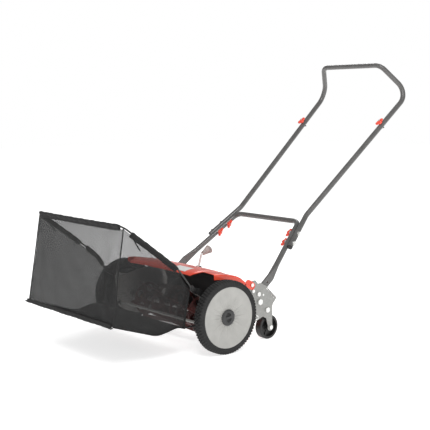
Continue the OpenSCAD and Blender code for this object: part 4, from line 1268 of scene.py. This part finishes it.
    def front_hem(self) -> Piece:
        """The hem round the lower front rod."""
        low, high = box_mm("bag_rod")
        x = np.linspace(-self.half - self.flare - 3.0, self.half - 4.0, 120)
        y = np.full_like(x, float(low[1] + high[1]) / 2.0 + 0.6)
        z = np.full_like(x, float(low[2] + high[2]) / 2.0) + 0.6 * np.sin(x / 23.0)
        t = turns(28)[None, :]
        radius = 4.2 + 0.35 * np.sin(x[:, None] / 6.0 + 2.0 * t) + 6.5 * hill(t, math.pi / 2, 0.35)
        section = stacked(radius * np.cos(t), radius * np.sin(t))
        return tube("front_hem", stacked(x, y, z), section, UP, stacked(x[:, None], 6.0 * t))

    def mouth_hem(self) -> Piece:
        """The bound edge of the open mouth: down one side, across the floor and up the other."""
        end = self.floor_line[-1]
        top = self.top_line[-1]
        x = self.half - 0.5
        route = [
            (x, top[0], top[1] - 8.0), (x, (top[0] + end[0]) / 2 - 1.0, (top[1] + end[1]) / 2),
            (x - 0.5, end[0], end[1] + self.corner), (x - self.corner, end[0], end[1] + 1.0),
            (0.0, end[0], end[1] - 1.0),
        ]
        half = spline(np.array(route), 110)
        path = np.vstack([half, half[-2::-1] * [-1.0, 1.0, 1.0]])
        return self.tape("mouth_hem", path, 1.5, 4.2, BACK)

    def ties(self) -> Piece:
        """Loose tape ends that hang inside the top of the bag."""
        s = np.linspace(0.0, 1.0, 26)[:, None]
        starts = [
            (self.wire_x - 5.0, -345.0, 424.0, -5.0, 30.0, -46.0),
            (self.half - 70.0, self.front[0] + 3.0, self.front[1] - 13.0, -16.0, 9.0, -9.0),
            (-self.wire_x + 6.0, -352.0, 430.0, 6.0, 22.0, -40.0),
        ]
        pieces = []
        for k, (x, y, z, dx, dy, dz) in enumerate(starts):
            curl = 4.0 * np.sin(math.pi * s)
            path = np.hstack([x + dx * s + curl, y + dy * s**1.4, z + dz * s**0.9])
            pieces.append(self.tape(f"tie_{k}", path, 2.6, 0.8, np.array([1.0, 0.2, 0.1])))
        return joined("tape_ties", pieces)

    def stitches(self) -> Piece:
        """Rows of short raised stitches beside the crossbar sleeve and the front hem."""
        runs = []
        for y, z in (self.front + [-3.4, -14.5], self.bottom + [-3.6, 9.0]):
            x = np.arange(-self.half + 12.0, self.half - 24.0, self.stitch_pitch)
            runs.append(stacked(x, y, z))
        starts = np.vstack(runs)
        t = turns(6)
        ring = self.stitch_r * stacked(0.0 * t, np.cos(t), np.sin(t))
        rings = ((0.0, 0.4), (1.2, 1.0), (2.6, 1.0), (3.8, 0.4))
        one = np.concatenate([ring * size + [x, 0.0, 0.0] for x, size in rings])
        faces = grid_faces(4, 6, False, True)
        caps = np.array([[0, 1, 2, 3], [0, 3, 4, 5], [21, 20, 19, 18], [23, 22, 21, 18]])
        faces = np.vstack([faces, caps])
        points = (starts[:, None] + one[None]).reshape(-1, 3)
        every = (faces[None] + 24 * np.arange(len(starts))[:, None, None]).reshape(-1, 4)
        return closed(mesh_object("seam_stitches", points, every, points[:, [0, 2]] * MM))


# ---- knobs ----


@dataclass
class WingKnob:
    """A red wing knob on its joint's axis: a domed boss with two offset wings."""

    name: str
    shop: Workshop
    boss: float = 9.2
    reach: float = 18.5
    height: float = 14.0
    wing_spread: float = 0.36
    wing_turn: float = 0.16

    TAPER: ClassVar[tuple] = (
        (0.0, 0.0), (0.0, 0.86), (0.03, 0.95), (0.10, 1.0), (0.3, 1.0), (0.5, 1.0), (0.68, 1.0),
        (0.80, 0.97), (0.90, 0.90), (0.96, 0.78), (1.0, 0.55), (1.0, 0.0),
    )

    def build(self) -> None:
        """Makes the knob in place of its CAD node.

        In the plane square to the axis the outline's radius at angle t is boss + (reach - boss) w,
        where a wing is w = exp(-(d / wing_spread)^4) at the angle d from its own direction. Going
        up by s, the outline shrinks at both ends, and wings rise higher than the boss.
        """
        joint = joint_named(f"{self.name}_turn")
        axis = unit(np.array(joint["axis"], float))
        low, high = box_mm(self.name)
        pos = np.array(joint["pos_m"]) / MM
        centre = pos + axis * float(((low + high) / 2.0 - pos) @ axis)
        foot = centre - axis * self.height / 2.0
        across = points_mm(self.name) - foot
        across = across - np.outer(across @ axis, axis)
        wing = unit(across[np.argmax(np.linalg.norm(across, axis=1))])
        other = np.cross(axis, wing)
        t = turns(96)[None, :]
        s, taper = (np.array(column)[:, None] for column in zip(*self.TAPER))
        wings = np.zeros_like(t)
        for turn in (self.wing_turn, math.pi + self.wing_turn):
            wings = np.maximum(wings, hill(angle_from(t, turn), 0.0, self.wing_spread, 4))
        radius = (self.boss + (self.reach - self.boss) * wings * smoothstep(0.08, 0.35, s)) * taper
        lift = s * self.height * (0.82 + 0.18 * wings)
        plane = radius[..., None] * (np.cos(t)[..., None] * wing + np.sin(t)[..., None] * other)
        points = foot + plane + lift[..., None] * axis
        knob = closed(grid_object(f"wing_{self.name}", points, False, True))
        smooth = knob.modifiers.new("Round", "SUBSURF")
        smooth.levels = 1
        smooth.render_levels = 1
        self.shop.fit(knob, "knob_plastic", self.name.replace("knob_", "wing_"), self.name)


@dataclass
class BellGrip:
    """The ribbed grip of the hand lever, which flares to a domed end."""

    shop: Workshop
    length: float = 39.0
    low_r: float = 7.5
    high_r: float = 16.0
    overhang: float = 5.0
    ribs: int = 9
    rib: float = 0.5
    dome_start: float = 0.86

    def build(self) -> None:
        """Makes the grip along the CAD grip's own axis.

        At a share s of its length its radius is low_r + (high_r - low_r) s^1.3, waved by
        rib cos(2 pi ribs s), and closes over a dome beyond s = dome_start.
        """
        base, top = self.axis_ends()
        axis = unit(top - base)
        base = base - axis * self.overhang
        s = np.linspace(0.0, 1.0, 110)
        start = self.dome_start
        dome = np.sqrt(np.clip(1.0 - (np.clip(s - start, 0.0, 1.0) / (1.0 - start)) ** 2, 0.0, 1.0))
        flare = self.low_r + (self.high_r - self.low_r) * np.clip(s / start, 0.0, 1.0) ** 1.3
        ridge = self.rib * np.cos(TAU * self.ribs * s) * (1.0 - smoothstep(0.84, 0.90, s))
        radius = np.concatenate([[0.0], (flare + ridge) * dome])
        along = np.concatenate([[0.0], s]) * self.length
        t = turns(72)
        flat = unit(np.cross(axis, np.array([1.0, 0.0, 0.0])))
        ring = np.cos(t)[:, None] * flat + np.sin(t)[:, None] * np.cross(axis, flat)
        points = base + along[:, None, None] * axis + radius[:, None, None] * ring[None]
        grip = closed(grid_object("bell_grip", points, False, True))
        self.shop.fit(grip, "grip_rubber", "lever", "lever_grip")

    def axis_ends(self) -> tuple[Array, Array]:
        """The lower and upper ends of the CAD grip's axis, from its vertices' main direction."""
        points = points_mm("lever_grip")
        middle = (points.min(axis=0) + points.max(axis=0)) / 2.0
        spread = points - middle
        axis = np.linalg.eigh(spread.T @ spread)[1][:, -1]
        axis = axis * np.sign(axis[2])
        reach = spread @ axis
        return middle + axis * reach.min(), middle + axis * reach.max()


# ---- studio ----


@dataclass
class Studio:
    """A pale floor, a white surround, soft lights and the camera."""

    camera_at: tuple[float, float, float] = (2.6533, -2.0006, 0.8292)
    pitch: float = 83.454
    yaw: float = 50.273
    lens: float = 77.7
    floor_size: float = 30.0
    floor_gap: float = 0.5
    glow: float = 0.70
    ambient: float = 0.38

    LAMPS: ClassVar[tuple] = (
        ("key", (2.2, -1.4, 3.2), (0.0, 0.0, 0.3), 1.7, 66.0),
        ("fill", (3.4, 0.4, 1.6), (0.0, 0.2, 0.4), 2.0, 12.0),
        ("rim", (-1.6, 2.8, 2.8), (0.0, 0.4, 0.5), 2.0, 38.0),
    )

    def build(self) -> None:
        """Makes the stage."""
        scene = bpy.context.scene
        scene.view_settings.view_transform = "Standard"
        self.floor()
        self.surround()
        for lamp in self.LAMPS:
            self.light(*lamp)
        self.camera()

    def floor(self) -> None:
        """A large plain floor in a pale matt paint."""
        half = self.floor_size / 2.0 / MM
        corners = half * np.array([[-1, -1, 0], [1, -1, 0], [1, 1, 0], [-1, 1, 0]])
        corners[:, 2] = -self.floor_gap
        floor = mesh_object("studio_floor", corners, np.array([[0, 1, 2, 3]]))
        g = Graph("studio_floor")
        g.set(Base_Color=(0.9, 0.9, 0.9, 1.0), Roughness=0.95, Specular_IOR_Level=0.1)
        g.set(Emission_Color=(1.0, 1.0, 1.0, 1.0), Emission_Strength=self.glow)
        floor.data.materials.append(g.material)

    def surround(self) -> None:
        """A white world, which lights the pieces more softly than the camera sees it."""
        world = bpy.data.worlds.new("studio")
        world.use_nodes = True
        tree = world.node_tree
        sky = tree.nodes["Background"]
        sky.inputs["Color"].default_value = (1.0, 1.0, 1.0, 1.0)
        seen = tree.nodes.new("ShaderNodeLightPath").outputs["Is Camera Ray"]
        level = tree.nodes.new("ShaderNodeMapRange")
        level.inputs["To Min"].default_value = self.ambient
        level.inputs["To Max"].default_value = 1.0
        tree.links.new(seen, level.inputs["Value"])
        tree.links.new(level.outputs["Result"], sky.inputs["Strength"])
        bpy.context.scene.world = world

    def light(self, name: str, at: tuple, to: tuple, size: float, power: float) -> None:
        """A square soft light.

        Args:
            name: The light's name.
            at: Where it stands, in metres.
            to: What it faces.
            size: Length of its side.
            power: Its power in watts.
        """
        data = bpy.data.lights.new(name, "AREA")
        data.size = size
        data.energy = power
        lamp = placed(name, data)
        lamp.location = at
        way = unit(np.array(to) - np.array(at))
        pan = math.atan2(way[1], way[0]) - math.pi / 2.0
        lamp.rotation_euler = (math.acos(-way[2]), 0.0, pan)

    def camera(self) -> None:
        """The camera, a little above the handle's middle and ahead of the machine's left side."""
        data = bpy.data.cameras.new("camera")
        data.lens = self.lens
        data.sensor_width = 36.0
        camera = placed("camera", data)
        camera.location = self.camera_at
        camera.rotation_euler = (math.radians(self.pitch), 0.0, math.radians(self.yaw))
        bpy.context.scene.camera = camera


def main() -> None:
    """Builds the looks in order."""
    logging.basicConfig(level=logging.INFO, format="%(name)s: %(message)s")
    Studio().build()
    shop = Workshop()
    shop.dress_nodes()
    for side in Side:
        MainWheel(side, shop).build()
    Cover(shop).build()
    Catcher(shop).build()
    for name in sorted(n for n in frame["nodes"] if n.startswith("knob_")):
        WingKnob(name, shop).build()
    BellGrip(shop).build()


if __name__ == "__main__":
    main()
